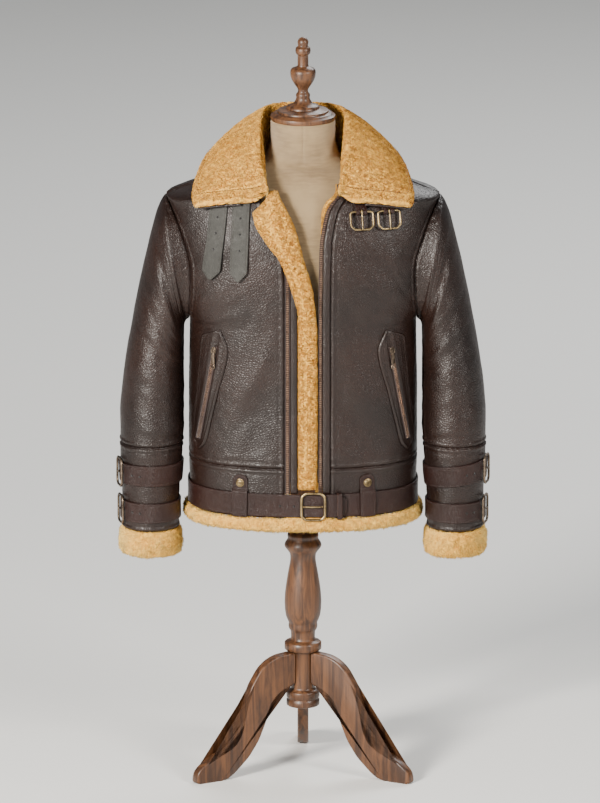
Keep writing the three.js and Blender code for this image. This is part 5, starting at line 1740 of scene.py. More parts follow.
@dataclass(frozen=True)
class Strap:
    """A leather strip over a surface, with rounded edges, edge stitching and punched holes, each drawn as a near-black
    disc of painted shade.

    The surface gives points at places along it, shares -1 to 1 across it and distances out. Holes are places along
    and shares across. It is closed if it goes all round.
    """

    name: str
    surface: Callable
    along: Array
    thick: float
    finish: Finish
    holes: Sequence[tuple[float, float]]
    cut: Cut
    closed: bool = False
    stitch_in: float = 3.2

    def build(self, columns: int, half: float) -> None:
        """Make the strap with this many columns across and this half width."""
        share = np.concatenate(([-1.0, -0.985, -0.95], np.linspace(-0.9, 0.9, columns), [0.95, 0.985, 1.0]))
        base = self.surface(self.along[:, None], share[None, :], 0.0)
        top = self.surface(self.along[:, None], share[None, :], self.thick)
        out = unit(top - base)
        drop = np.interp(np.abs(share), (0, 0.9, 0.95, 0.985, 1.0), (0, 0, 0.25, 0.7, 1.2))[None, :]
        drop = drop + 0.45 * bell((1 - np.abs(share))[None, :] * half - self.stitch_in, 1.2)
        flat = base.reshape(-1, 3)
        drop = drop - (0.18 * lock_noise(flat, 14.0, 4.4)).reshape(base.shape[:2])
        if not self.closed:
            ends = np.minimum(arc(top, 0), arc(top, 0)[-1:] - arc(top, 0))
            drop = drop + 1.0 * bell(ends, 1.2)
        outer = top - out * drop[..., None]
        shape = Shape()
        rows, inner = np.swapaxes(outer, 0, 1), np.swapaxes(base, 0, 1)
        facing = np.sum(np.cross(rows[5, 6] - rows[4, 5], rows[5, 5] - rows[4, 6]) * out[5, 5]) > 0
        if facing:
            rows, inner = rows[::-1], inner[::-1]
        shape.wall(rows, inner, self.closed)
        for sign in (-1, 1):
            at = np.full((1, 1), sign * (1 - self.stitch_in / half))
            path = self.surface(self.along[:, None], at, self.thick - 0.25)[:, 0]
            up = self.surface(self.along[:, None], at, self.thick + 1.0)[:, 0] - path
            shape.stitches(path, up, pitch=3.6, long=2.7, wide=0.8)
        turns = circle(12)
        # Each hole is a near-black disc on the strap's face: painted shade where an open hole would be
        for a, b in self.holes:
            middle, lifted = (self.surface(np.array([[a]]), np.array([[b]]), h)[0, 0]
                              for h in (self.thick + 0.05, self.thick + 1.05))
            place = Place.on(middle, lifted - middle)
            rings = [place.at(r * np.cos(turns), r * np.sin(turns), h)
                     for r, h in ((2.1, -0.4), (2.1, 0.45), (0.05, 0.45))]
            shape.tube(np.stack(rings), slot=2)
        shape.piece(self.name, "leather", self.finish, THREAD, HOLE_SHADE, cut=self.cut)


class CollarStrap:
    """A pointed strap with holes that hangs from under the collar's left wing."""

    TOP, LOW = 1076.0, 935.0
    HALF = 15.6
    SIZES = {1: (-149.0, -163.0), 2: (-110.0, -115.0)}
    HOLES = (1047.0, 1019.0, 991.0)

    def __init__(self, number: int) -> None:
        """Take the strap's number, 1 for the outer one."""
        self.number = number
        self.top_x, self.low_x = self.SIZES[number]

    def half(self, z: Array) -> Array:
        """Return the half width at a height: a cut point at the low end."""
        return np.interp(z, (self.LOW, 938.0, 950.0, 954.0, 2000.0), (1.5, 4.5, 14.4, self.HALF, self.HALF))

    def surface(self, z: Array, share: Array, out: object) -> Array:
        """Return the strap's points at heights, shares across and distances out."""
        z, share = np.broadcast_arrays(z, share)
        x = lerp(self.low_x, self.top_x, (z - self.LOW) / (self.TOP - self.LOW)) + share * self.half(z)
        curl = 0.9 * ease((975 - z) / 40)
        return on_front(x, z, 1 + 3.5 * ease((1030 - z) / 95) + curl + out)

    def build(self) -> None:
        """Make the strap."""
        zs = np.linspace(self.LOW, self.TOP, 120)
        holes = [(z, 0.0) for z in self.HOLES]
        Strap(f"collar_strap_{self.number}", self.surface, zs, LEATHER, Finish.STRAP, holes,
              Cut(0.034, 0.143, 0.0048)).build(26, self.HALF)


class CollarBuckle:
    """A buckle on the collar's right side: its leather loop, the hanging frame and the prong."""

    XS = (103.5, 151.0)
    Z, OUT, WIDE, HIGH, WIRE, PRONG = 1058.0, 8.0, 41.0, 32.0, 1.9, 1.3
    LOOP, SLOT = 20.0, 5.0

    def __init__(self, number: int) -> None:
        """Take the buckle's number, 1 for the inner one."""
        self.number = number
        self.place = Place.on_chest(self.XS[number - 1], self.Z)

    def loop(self) -> None:
        """Make the leather loop: a folded strip that is split below for the prong."""
        path = np.array(((0.4, 14), (0.4, 7), (0.4, 0), (2.8, -4.4), (7.8, -6.2), (11.8, -4.4), (13, 0), (10, 4.6),
                         (4, 14)))
        inner = np.array(((1.9, 13), (3.2, 6), (3.2, 0), (4.6, -2.8), (7.8, -4), (10.2, -2.8), (11, 0), (9.6, 3.6),
                          (4.0, 11)))
        places = np.linspace(0, len(path) - 1, 50)
        outside = np.stack([np.interp(places, np.arange(len(path)), path[:, k]) for k in range(2)], -1)
        inside = np.stack([np.interp(places, np.arange(len(path)), inner[:, k]) for k in range(2)], -1)
        for curve in (outside, inside):
            for _ in range(3):
                curve[1:-1] = (curve[:-2] + 2 * curve[1:-1] + curve[2:]) / 4
        shape = Shape()
        half, slot = self.LOOP / 2, self.SLOT / 2
        # Two halves beside the slot, joined above it
        for a, b, rows in ((-half, -slot, slice(None)), (slot, half, slice(None)), (-slot, slot, slice(0, 16)),
                           (-slot, slot, slice(43, None))):
            across = np.linspace(a, b, 7)
            lift = np.where(np.minimum(np.abs(across - a), np.abs(across - b)) < 0.4, 0.35, 0.0)
            lift = lift if abs(a) > slot or abs(b) > slot else lift * 0
            c, u = outside[rows, 0], outside[rows, 1]
            ci, ui = inside[rows, 0], inside[rows, 1]
            outer = self.place.at(across[None, :], u[:, None], c[:, None] - lift[None, :] * np.sign(c[:, None] - 7))
            shape.wall(outer[:, ::-1], self.place.at(across[None, :], ui[:, None], ci[:, None])[:, ::-1])
        for sign in (-1, 1):
            z = np.linspace(13, 2, 8)
            c = np.interp(z, (0, 4.6, 14), (13, 10, 4)) - 0.1
            line = self.place.at(sign * (half - 2.4), z, c)
            shape.stitches(line, np.broadcast_to(self.place.n, line.shape), 3.2, 2.4, 0.8)
        shape.piece(f"collar_loop_{self.number}", "leather", Finish.BELT, THREAD, cut=Cut(0.02, 0.05, 0.00098),
                    held="folded")

    def build(self) -> None:
        """Make the loop, the frame and the prong."""
        self.loop()
        w, h, cut = self.WIDE / 2, self.HIGH, 7.0
        outline = np.array(((w, -h + cut), (w, -3), (w - 3, 0), (-w + 3, 0), (-w, -3), (-w, -h + cut), (-w + cut, -h),
                            (w - cut, -h)))
        wire = Shape()
        wire_loop(wire, self.place, soften(outline, 3.0), self.OUT, self.WIRE)
        wire.piece(f"collar_buckle_{self.number}", "wire", Finish.BRASS, body=f"buckle_{self.number}")
        eye = self.WIRE + 0.4 + self.PRONG
        turns = np.radians(np.linspace(-150, -350, 12))
        path = [(0.0, eye * math.sin(t), self.OUT + eye * math.cos(t)) for t in turns]
        path += [(0.0, -8.0, self.OUT + eye + 1), (0.0, -22.0, self.OUT + eye + 1.2),
                 (0.0, -h - 2.0, self.OUT + eye + 0.2)]
        prong = Shape()
        rod(prong, self.place, path, self.PRONG, False)
        prong.piece(f"collar_prong_{self.number}", "pin", Finish.BRASS, body=f"prong_{self.number}")


class Belt:
    """The waist belt: the strap with its holes, the buckle, the keeper and the two belt loops."""

    GAP = 1.4
    LIFT = LEATHER + 0.9
    START = front_turn(6, BELT_HIGH)
    END = 4 + front_turn(78, BELT_HIGH)
    MIDDLE = (BELT_LOW + BELT_HIGH) / 2
    HALF = (BELT_HIGH - BELT_LOW) / 2
    HOLES = (-41.0, -16.0, 37.0)
    FACE = GAP + LIFT + LEATHER
    WIRE = 2.4
    OUT = FACE + WIRE + 1

    def surface(self, turn: Array, share: Array, out: object) -> Array:
        """Return the belt's points at turns round the coat, shares across and distances out."""
        turn, share = np.broadcast_arrays(turn, share)
        rise = self.GAP + self.LIFT * ease((turn - 3.86) / 0.13)
        # The tail's end is cut to a blunt point
        point = np.clip((self.END - turn) / 0.045, 0, 1)
        narrow = 0.35 + 0.65 * point ** 0.6
        return round_point(turn, self.MIDDLE + share * self.HALF * narrow, rise + out)

    def build(self) -> None:
        """Make every part of the belt."""
        fine_from, fine_to = 4 + front_turn(-60, BELT_HIGH), self.END
        along = np.concatenate((np.linspace(self.START, fine_from, 220)[:-1], np.linspace(fine_from, fine_to, 110)))
        holes = [(4 + front_turn(x, BELT_HIGH), 0.0) for x in self.HOLES]
        Strap("belt", self.surface, along, LEATHER, Finish.BELT, holes, Cut(1.26, 0.042, 0.0529)).build(13, self.HALF)
        place = Place.on_chest(18, self.MIDDLE)
        wire = Shape()
        wire_loop(wire, place, soften(cut_rectangle(42, 49, 7), 3.5), self.OUT, self.WIRE, 14)
        wire.piece("belt_buckle", "wire", Finish.BRASS)
        pin = Shape()
        rod(pin, place, ((-18, 0, self.OUT), (-12, 0, self.OUT + 0.6), (-6, 0, self.OUT + 1.2), (8, 0, self.OUT + 1),
                         (18, 0, self.OUT)), 1.8, True)
        pin.piece("belt_prong", "pin", Finish.BRASS)
        self.keeper()
        for word, x in (("left", -112.0), ("right", 115.0)):
            self.loop(word, x)

    def keeper(self) -> None:
        """Make the leather keeper round the belt's tail."""
        place = Place.on_chest(64, self.MIDDLE)
        outer = np.array(((1.4, 24.2), (12.5, 24.2), (14.8, 23.4), (15.5, 21.0), (15.5, -21.0), (14.8, -23.4),
                          (12.5, -24.2), (1.4, -24.2)))
        inner = np.array(((1.4, 22.6), (12.0, 22.6), (13.2, 22.2), (13.9, 20.6), (13.9, -20.6), (13.2, -22.2),
                          (12.0, -22.6), (1.4, -22.6)))
        across = np.linspace(-4.5, 4.5, 9)
        shape = Shape()
        drop = np.where(np.abs(across) > 4, 0.3, 0.0)[:, None]
        shrink = outer - drop[:, :, None] * np.sign(outer - np.array((7.0, 0.0)))
        top = place.at(across[:, None], shrink[..., 1], shrink[..., 0])
        shape.wall(top, place.at(across[:, None], inner[None, :, 1], inner[None, :, 0]))
        for sign in (-1, 1):
            b = np.linspace(-19, 19, 12)
            line = place.at(np.full(12, sign * 2.9), b, np.full(12, 15.5))
            shape.stitches(line, np.broadcast_to(place.n, line.shape), 3.2, 2.4, 0.7)
        shape.piece("belt_keeper", "leather", Finish.BELT, THREAD, cut=Cut(0.01, 0.076, 0.00068), held="folded")

    def loop(self, word: str, x: float) -> None:
        """Make a belt loop and the domed snap that closes it."""
        table_z = (501.0, 510.0, 524.0, 540.0, 547.0, 553.0, 570.0, 574.0, 576.5, 578.0)
        halves = (13.0, 13.2, 13.5, 13.5, 13.5, 13.5, 13.0, 11.0, 8.0, 3.5)
        lifts = (5.6, 5.6, 5.6, 5.6, 5.2, 1.2, 0.8, 0.8, 0.8, 0.8)

        def surface(z: Array, share: Array, out: object) -> Array:
            z, share = np.broadcast_arrays(z, share)
            return on_front(x + share * np.interp(z, table_z, halves), z, np.interp(z, table_z, lifts) + out)

        Strap(f"belt_loop_{word}", surface, np.linspace(501, 578, 60), 2.4, Finish.BELT, (),
              Cut(0.027, 0.085, 0.0022), stitch_in=3.0).build(18, 13.5)
        snap = Shape()
        place = Place.on_chest(x, 563)
        turns = circle(40)
        profile = ((7.5, 0.0), (7.6, 0.8), (7.2, 1.3), (6.3, 1.2), (5.9, 1.5), (5.6, 2.3), (4.4, 3.0), (2.4, 3.35),
                   (0.05, 3.45))
        rings = [place.at(r * np.cos(turns), r * np.sin(turns), 3.7 + h) for r, h in profile]
        snap.tube(np.stack(rings))
        snap.piece(f"snap_{word}", "dome", Finish.BRASS)


class Pocket(Sided):
    """A slanted pocket: its pointed welt, the zip with its teeth, the slider and the pull tab."""

    WELT = Table("z near far", ((612, 185, 187.5), (628, 173.5, 196), (640, 170, 198), (722, 152, 191),
                                (805, 134, 184), (823, 140, 181.5), (840, 148, 151)))
    HIGH = 3.6
    TOP_Z, LOW_Z, TOP_X, LOW_X = 809.0, 633.0, 155.0, 185.0
    SLIDER_Z = 802.0
    TAB_LONG, TAB_THICK, TAB_OUT = 36.0, 1.6, 9.6

    def zip_x(self, z: object) -> Array:
        """Return the x of the zip's middle at a height."""
        return self.side * lerp(self.LOW_X, self.TOP_X, (np.asarray(z, dtype=float) - self.LOW_Z)
                                / (self.TOP_Z - self.LOW_Z))

    def welt(self) -> None:
        """Make the welt, with a rolled rim, a swell on each side of the zip and double stitching."""
        zs = 612 + spaced(228, 3.2) * 228
        share = np.concatenate(([0.0, 0.012, 0.03, 0.06], np.linspace(0.1, 0.9, 30), [0.94, 0.97, 0.988, 1.0]))
        near = self.side * self.WELT.read("near", zs)
        far = self.side * self.WELT.read("far", zs)
        x = lerp(near[:, None], far[:, None], share[None, :])
        wide = np.abs(far - near)[:, None]
        rim = np.minimum(np.minimum(share, 1 - share)[None, :] * wide, np.minimum(zs - 612, 840 - zs)[:, None] * 0.6)
        to_zip = np.abs(x - self.zip_x(zs)[:, None])
        height = self.HIGH - 1.9 * bell(rim, 1.3) + 0.8 * bell(rim - 2.8, 1.6)
        height = height - 0.5 * bell(rim - 5.0, 1.2) - 0.5 * bell(rim - 8.6, 1.2)
        height = height + 0.9 * bell(to_zip - 7.5, 3.0) - 0.5 * bell(to_zip, 4.0)
        outer = on_front(x, zs[:, None], height)
        inner = on_front(x, zs[:, None], 1.6)
        shape = Shape()
        flip = self.side < 0
        shape.wall(outer[:, ::-1] if flip else outer, inner[:, ::-1] if flip else inner)
        for column, inset in ((near, 5.0), (far, -5.0)):
            inside = zs[(zs > 622) & (zs < 831)]
            line_x = np.interp(inside, zs, column) + self.side * inset
            path = on_front(line_x, inside, self.HIGH - 0.2)
            shape.stitches(path, on_front(line_x, inside, self.HIGH + 0.8) - path)
        shape.piece(f"pocket_welt_{self.word}", "leather", Finish.LEATHER, THREAD, cut=Cut(0.048, 0.235, 0.0105))

    def zip(self) -> None:
        """Make the tape and both rows of teeth."""
        zs = np.linspace(self.LOW_Z, self.TOP_Z, 60)
        strip = Strip(zs, lambda z: float(self.zip_x(z)) - 4, lambda z: float(self.zip_x(z)) + 4, self.HIGH + 0.4,
                      self.HIGH + 0.9)
        tape, teeth = Shape(), Shape()
        strip.solid(tape, 0.0, 4)
        pitch = 2.9
        for row, shift in ((-1, 0.0), (1, pitch / 2)):
            z = np.arange(self.LOW_Z + 2 + shift, self.SLIDER_Z - 7, pitch)
            x = self.zip_x(z) + row * 1.25
            foot = on_front(x, z, self.HIGH + 0.75)
            teeth.blocks(foot, on_front(x + 2, z, self.HIGH + 0.75) - foot, on_front(x, z, self.HIGH + 2) - foot,
                         (3.4, 1.5, 1.0), 0.75, 0)
        tape.piece(f"pocket_zip_{self.word}", "tape", Finish.TAPE, crisp=35, cut=Cut(0.01, 0.179, 0.0017))
        teeth.piece(f"pocket_zip_{self.word}", "teeth", Finish.TAPE, own=COPPER, crisp=35)

    def slider(self) -> None:
        """Make the slider with its bridge, and the hanging tab with a ring hole at its end."""
        place = Place.on_chest(float(self.zip_x(self.SLIDER_Z)), self.SLIDER_Z)
        low = self.HIGH + 2.2
        shape = Shape()
        body = soften(np.array(((4.5, -3.5), (4.5, 4.5), (2.5, 6.5), (-2.5, 6.5), (-4.5, 4.5), (-4.5, -3.5),
                                (-2.6, -6.5), (2.6, -6.5))), 1.6)
        pad(shape, place, body, low, low + 2.0, 0.5)
        rod(shape, place, ((0, -3.2, low + 1.8), (0, -2.6, low + 2.5), (0, 2.6, low + 2.5), (0, 3.2, low + 1.8)), 0.8,
            False, 8)
        shape.piece(f"pocket_slider_{self.word}", "metal", Finish.DARK_METAL, crisp=50)
        tab = Shape()
        long = self.TAB_LONG
        ring = soften(np.array(((-3.0, 2.6), (3.0, 2.6), (3.3, -3.4), (-3.3, -3.4))), 1.6)
        wire_loop(tab, place, ring[::-1], self.TAB_OUT, 0.75, 8)
        plate = soften(np.array(((-2.6, -3.6), (2.6, -3.6), (3.2, -8), (3.7, -long + 12), (-3.7, -long + 12),
                                 (-3.2, -8))), 1.0)
        pad(tab, place, plate, self.TAB_OUT - self.TAB_THICK / 2, self.TAB_OUT + self.TAB_THICK / 2, 0.4)
        turns = circle(24)
        end = np.stack((3.0 * np.cos(turns), -long + 6.6 + 3.7 * np.sin(turns)), -1)
        wire_loop(tab, place, end, self.TAB_OUT, 1.1, 8, flat=0.72)
        tab.piece(f"pocket_pull_{self.word}", "metal", Finish.DARK_METAL, crisp=50, body=f"pull_{self.word}")

    def build(self) -> None:
        """Make every part of the pocket."""
        self.welt()
        self.zip()
        self.slider()


class CuffStraps(Sided):
    """The two straps round a lower sleeve, each with a wire buckle and prong on its outer side."""

    ROWS = ((564.0, 12.0), (496.0, 0.0))
    HIGH = 37.0
    GAP, WIRE = 1.3, 2.2
    HOLES = {-1: ((1.22, 0.0), (0.94, 0.0)), 1: ((1.20, 0.0), (0.92, 0.0))}

    def sleeve_t(self, z: Array) -> Array:
        """Return the sleeve's row at a height of its outer side."""
        return np.interp(-np.asarray(z), -SLEEVE.columns["outz"][9:], SLEEVE.keys[9:])

    def build(self) -> None:
        """Make both straps with their buckles."""
        for number, (z, tilt) in enumerate(self.ROWS, 1):
            lean = tilt if self.side > 0 else 0.0

            def surface(turn: Array, share: Array, out: object, z: float = z, lean: float = lean) -> Array:
                turn, share = np.broadcast_arrays(turn, share)
                t = self.sleeve_t(z + share * self.HIGH / 2 + lean * 0.5 * np.cos(turn))
                return sleeve_point(self.side, t, turn, self.GAP + out)

            name = f"cuff_strap_{self.word}_{number}"
            Strap(name, surface, circle(160), LEATHER, Finish.BELT, self.HOLES[self.side],
                  Cut(0.40, 0.037, 0.0148), True).build(24, self.HIGH / 2)
            origin = surface(np.array(0.3), np.array(0.0), LEATHER)
            normal = np.array((self.side * math.cos(0.24), -math.sin(0.24), 0.0))
            place = Place.on(origin, normal)
            out = self.WIRE - 0.9
            shape = Shape()
            wire_loop(shape, place, soften(cut_rectangle(34, 50, 6), 3.2), out, self.WIRE)
            rod(shape, place, ((-17, 0, out), (-11, 0, out + 0.7), (-6, 0, out + 1.2), (6, 0, out + 1.2), (17, 0, out)),
                1.6, True)
            shape.piece(f"cuff_buckle_{self.word}_{number}", "wire", Finish.DARK_METAL)


class DressForm:
    """The linen torso and neck, with its centre, princess and neck seams."""

    TABLE = Table("z a front back", (
        (560, 150, 104, 104), (620, 156, 110, 112), (700, 146, 104, 102), (800, 154, 112, 106), (900, 168, 122, 116),
        (980, 176, 120, 116), (1040, 186, 104, 104), (1083, 190, 80, 88), (1100, 150.5, 70, 84), (1116, 111, 60, 76),
        (1130, 74, 50, 64), (1150, 62, 56, 60), (1166, 58, 58, 58), (1203.7, 58, 58, 58),
    ))

    def build(self) -> None:
        """Make the form."""
        zs = np.concatenate(([560, 561, 563], np.linspace(567, 1000, 22), np.linspace(1006, 1198, 54),
                             [1200.5, 1202.6, 1203.7]))[:, None]
        turns = circle(144)[None, :]
        power = SQUARENESS + (1 - SQUARENESS) * ease((zs - 1128) / 16)
        sine, cosine = np.sin(turns), np.cos(turns)
        depth = np.where(cosine > 0, self.TABLE.read("front", zs), self.TABLE.read("back", zs))
        x = self.TABLE.read("a", zs) * np.sign(sine) * np.abs(sine) ** power
        y = -depth * np.sign(cosine) * np.abs(cosine) ** power
        grid = np.stack((x, y, np.broadcast_to(zs, x.shape)), -1)
        out = grid_normals(grid, True)
        out = out * np.where(np.sum(out * grid * np.array((1, 1, 0)), -1) < 0, -1.0, 1.0)[..., None]
        near_centre = np.where(cosine > 0, np.abs(x), 99.0)
        neck = zs - (1117 + 9 * np.cos(turns))
        groove = 1.7 * bell(near_centre, 1.6) + 1.6 * bell(neck, 1.8) + 0.8 * bell(np.abs(x) - 62, 1.8) * (zs < 1110)
        groove = groove + 0.9 * bell(zs - 560, 1.5) + 0.9 * bell(zs - 1203.7, 1.2)
        shape = Shape()
        shape.tube(grid - out * np.maximum(groove, -0.3)[..., None])
        shape.piece("dress_form", "linen", Finish.LINEN, crisp=60)


class Stand:
    """The turned cap on the neck, the post and the three legs."""

    CAP = ((0.05, 1204), (57.4, 1204), (58.4, 1206), (58.7, 1209), (58, 1212), (55, 1213.6), (52.4, 1215.4),
           (51.6, 1216.4), (48, 1217), (46, 1217.6), (45.3, 1219.2), (45.5, 1221), (40, 1222.2), (33, 1223.4),
           (30, 1224.4), (29.6, 1226.4), (28.4, 1229), (24, 1230.4), (20, 1232), (16, 1235.2), (13, 1240),
           (12.1, 1244), (12.6, 1246.4), (12.8, 1248.6), (12, 1251), (9.4, 1254), (9, 1256), (9.4, 1259),
           (10.8, 1262), (15.2, 1268), (20, 1276), (22.4, 1283), (23, 1290), (22.4, 1294), (20.4, 1297), (14, 1299.6),
           (10.2, 1301.6), (9.7, 1304), (9.6, 1318), (9.8, 1322), (11.6, 1323.6), (13.2, 1325.6), (13.7, 1330),
           (13.2, 1334.4), (11.4, 1336.4), (9.2, 1337.6), (8.8, 1339), (9.6, 1343), (9.8, 1346.5), (8.4, 1350),
           (6, 1352.8), (3, 1354.3), (0.05, 1354.7))
    POST = ((0.05, 117), (27.5, 117), (29.6, 118.6), (29.9, 121), (29.9, 128.4), (28.6, 129.6), (28.4, 131),
            (28.6, 132.4), (29.9, 133.6), (29.9, 143), (29, 145), (25, 147), (21.9, 149.4), (21.6, 152), (21.6, 218),
            (23, 219.6), (31, 221), (33.2, 223), (33.4, 229), (33.2, 235), (31, 237), (23.6, 238.6), (21.9, 240.6),
            (21.6, 247), (21.9, 254), (22.9, 257.4), (25.4, 261), (26.1, 264), (26.1, 269), (25.6, 271.4), (26.6, 274),
            (28.8, 279), (31, 285), (32.8, 297), (33.3, 312), (32.6, 326), (31, 340), (27.4, 363), (24.2, 380),
            (22.9, 389), (22.9, 395), (23.9, 401), (28, 407), (32.4, 412.4), (33.5, 416), (32.6, 420), (29, 425.4),
            (27.3, 429), (27.8, 431.4), (28.2, 434), (27.6, 437), (24.6, 439.4), (22, 441.6), (21.8, 446), (22, 470),
            (22, 556), (21.4, 559), (20, 559.7), (0.05, 559.7))
    LEG = ((22.4, 219), (27, 219.5), (56, 217), (76, 209), (92, 196), (112, 166), (124.7, 127), (133, 86),
           (143, 68), (156, 58), (189, 46), (212, 32), (224, 20), (226.6, 4), (224, 0.0), (197, 0.0), (170, 0.0),
           (158, 3), (145.5, 11), (116.4, 36.7), (96.6, 64), (83, 94), (70.7, 128), (60, 141), (46, 150.5),
           (31.5, 156), (22.4, 160))
    THICK = 20.0
    LEGS = (("left", 210.0), ("right", 330.0), ("rear", 90.0))

    def turned(self, node_name: str, profile: Sequence[tuple[float, float]]) -> None:
        """Make a lathe-turned piece from its radii and heights."""
        turns = circle(72)
        rings = [np.stack((r * np.cos(turns), r * np.sin(turns), np.full(72, z)), -1) for r, z in profile]
        shape = Shape()
        shape.tube(np.stack(rings))
        shape.piece(node_name, "wood", Finish.WOOD, crisp=48)

    def leg(self, word: str, turn: float) -> None:
        """Make one S-shaped leg with rounded edges, pointing outwards at an angle in degrees."""
        raw = np.array(self.LEG)
        outline = soften(raw, 9.0, 4)
        outline[:, 1] = np.maximum(outline[:, 1], 0.0)
        outline[:, 0] = np.maximum(outline[:, 0], 22.4)
        ahead = unit(np.roll(outline, -1, 0) - np.roll(outline, 1, 0))
        inward = np.stack((ahead[:, 1], -ahead[:, 0]), -1)
        middle = outline.mean(axis=0)
        if np.sum(inward * (middle - outline)) < 0:
            inward = -inward
        layers = []
        for level, inset in ((-1.0, 3.2), (-0.94, 1.5), (-0.83, 0.45), (-0.68, 0.0), (0.68, 0.0), (0.83, 0.45),
                             (0.94, 1.5), (1.0, 3.2)):
            flat = outline + inward * inset * np.where(outline[:, :1] < 24, 0.0, 1.0)
            flat[:, 1] = np.where(outline[:, 1] < 0.5, outline[:, 1], flat[:, 1])
            layers.append(np.stack((flat[:, 0], np.full(len(flat), level * self.THICK / 2), flat[:, 1]), -1))
        angle = math.radians(turn)
        spin = np.array(((math.cos(angle), -math.sin(angle), 0), (math.sin(angle), math.cos(angle), 0), (0, 0, 1)))
        self.leg_mesh(word, np.stack(layers) @ spin.T)

    def leg_mesh(self, word: str, layers: Array) -> None:
        """Close the leg's layers with flat sides and make the piece."""
        shape = Shape()
        start = shape.sheet(layers, True)
        made = shape.piece(f"leg_{word}", "wood", Finish.WOOD)
        work = bmesh.new()
        work.from_mesh(made.data)
        work.verts.ensure_lookup_table()
        count = layers.shape[1]
        for row in (0, layers.shape[0] - 1):
            ring = [work.verts[start + row * count + j] for j in range(count)]
            cap = work.faces.new(ring if row else ring[::-1])
            cap.smooth = True
            bmesh.ops.triangulate(work, faces=[cap])
        bmesh.ops.recalc_face_normals(work, faces=work.faces)
        work.to_mesh(made.data)
        work.free()
        made.data.set_sharp_from_angle(angle=math.radians(40))

    def build(self) -> None:
        """Make the cap, the post and the legs."""
        self.turned("neck_cap", self.CAP)
        self.turned("post", self.POST)
        for word, turn in self.LEGS:
            self.leg(word, turn)


@dataclass(frozen=True)
class Studio:
    """The camera, the pale floor and the soft light."""

    elevation: float = 14.0
    distance: float = 30.0
    target: Point = (-0.0054, -0.037, 0.682)
    lens: float = 747.0
    floor: Colour = (0.82, 0.82, 0.8)

    def camera(self) -> None:
        """Make the camera at the photograph's angle."""
        data = bpy.data.cameras.new("camera")
        data.lens = self.lens
        data.sensor_width = 36.0
        data.clip_end = 100.0
        made = bpy.data.objects.new("camera", data)
        bpy.context.scene.collection.objects.link(made)
        angle = math.radians(self.elevation)
        away = Vector((0.0, -math.cos(angle), math.sin(angle))) * self.distance
        made.location = Vector(self.target) + away
        made.rotation_euler = (-away).to_track_quat("-Z", "Y").to_euler()
        bpy.context.scene.camera = made

    def lamp(self, name: str, place: Point, size: float, power: float, colour: Colour = (1, 1, 1)) -> None:
        """Make a soft square lamp that faces the coat."""
        data = bpy.data.lights.new(name, "AREA")
        data.size, data.energy, data.color = size, power, colour
        made = bpy.data.objects.new(name, data)
        bpy.context.scene.collection.objects.link(made)
        made.location = place
        made.rotation_euler = (Vector((0, 0, 0.8)) - Vector(place)).to_track_quat("-Z", "Y").to_euler()

    def build(self) -> None:
        """Make the floor, the world and the lamps."""
        shape = Shape()
        ys = np.linspace(-12000, 12000, 13)
        grid = np.stack([np.stack((ys, np.full(13, y), np.zeros(13)), -1) for y in ys])
        shape.sheet(grid)
        paper = Shade("paper", Roughness=0.9, Base_Color=(*self.floor, 1.0))
        shape.build("floor", paper.material)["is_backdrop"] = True
        world = bpy.data.worlds.new("studio")
        world.use_nodes = True
        world.node_tree.nodes["Background"].inputs["Color"].default_value = (0.8, 0.83, 0.86, 1.0)
        world.node_tree.nodes["Background"].inputs["Strength"].default_value = 0.19
        bpy.context.scene.world = world
        self.lamp("key", (-2.4, -3.5, 2.3), 1.0, 450.0, (1.0, 0.95, 0.88))
        self.lamp("fill", (2.8, -2.6, 2.6), 1.2, 130.0, (1.0, 0.96, 0.9))
        self.lamp("back", (1.6, 4.2, 4.6), 3.0, 260.0)


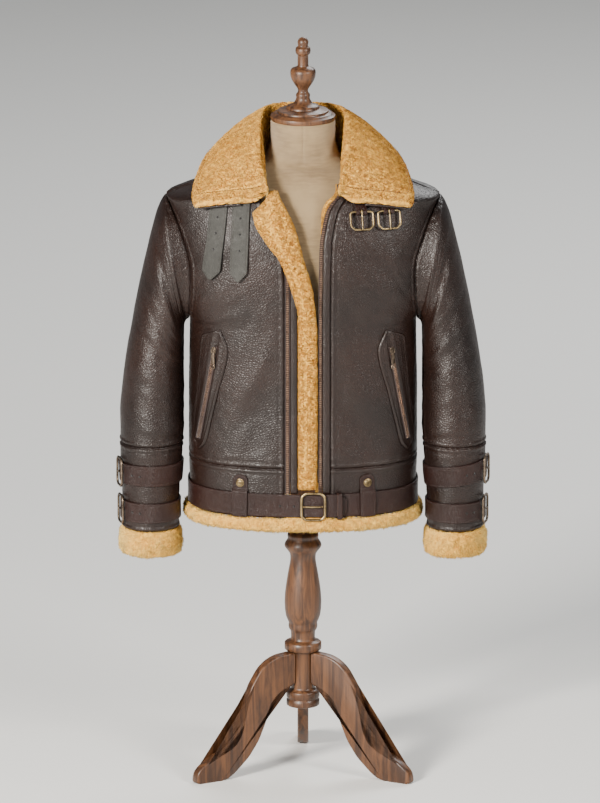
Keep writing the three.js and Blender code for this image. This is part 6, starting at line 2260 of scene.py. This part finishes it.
class Jacket:
    """The whole object: every piece of the coat, the form and the stand."""

    PANELS = (
        ("front_left", Face.FRONT, -1, 590.3, 1134.0, Cut(0.285, 0.56, 0.126)),
        ("front_right", Face.FRONT, 1, 590.3, 1134.0, Cut(0.275, 0.56, 0.119)),
        ("back", Face.BACK, 0, 590.3, 1134.0, Cut(0.60, 0.57, 0.288)),
        ("hem_band_left", Face.FRONT, -1, 500.0, 590.0, Cut(0.25, 0.09, 0.0222)),
        ("hem_band_right", Face.FRONT, 1, 500.0, 590.0, Cut(0.235, 0.09, 0.0208)),
        ("hem_band_back", Face.BACK, 0, 500.0, 590.0, Cut(0.55, 0.09, 0.0493)),
    )

    def build(self) -> None:
        """Make every piece."""
        for name, face, side, low, high, cut in self.PANELS:
            Panel(name, face, side, low, high, cut).build()
        Closure().build()
        Lining().build()
        for side in (-1, 1):
            Sleeve(side).build()
            Pocket(side).build()
            CuffStraps(side).build()
        self.rolls()
        Lapel().build()
        Collar().build()
        for number in (1, 2):
            CollarStrap(number).build()
            CollarBuckle(number).build()
        Belt().build()
        DressForm().build()
        Stand().build()

    def rolls(self) -> None:
        """Make the hem's and the cuffs' wool."""
        turns = np.linspace(0, 4, 421)[:-1]
        # Between the hem bands' ends the wool stands higher, up behind the belt
        gap = np.where(turns < 2, front_turn(49, 500), -front_turn(-32, 500))
        lift = 1 - ease((np.minimum(turns, 4 - turns) - gap + 0.02) / 0.03)

        def hem_ring(z: float, out: float) -> Array:
            return round_point(turns, z + 5.0 * lift * float(ease((z - 486) / 12)), out - 2)

        FurRoll("fur_hem", 476, 499.6, 13, 9, hem_ring,
                Wool(long=4.8, wide=2.2, per_cm2=42.0, most=18000, lock=8.0), Cut(1.10, 0.034, 0.0372),
                RNG_SEED + 3).build()
        around = circle(160)
        for side, word in ((-1, "left"), (1, "right")):
            def ring(z: float, out: float, side: int = side) -> Array:
                t = 12 + (460.0 - z) / 53.0
                return sleeve_point(side, t, around, out - 3)

            FurRoll(f"fur_cuff_{word}", 412, 459.7, 9, 8, ring,
                    Wool(long=4.8, wide=2.2, per_cm2=44.0, most=10000, lock=8.0), Cut(0.34, 0.066, 0.0224),
                    RNG_SEED + 5 + side).build()


def main() -> None:
    """Build the scene."""
    logging.basicConfig(level=logging.INFO, format="%(name)s %(message)s")
    studio = Studio()
    studio.camera()
    Jacket().build()
    studio.build()
    [[list(map(float, corner)) for corner in box] for box in (CAD_BOX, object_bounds())]


if __name__ == "__main__":
    main()
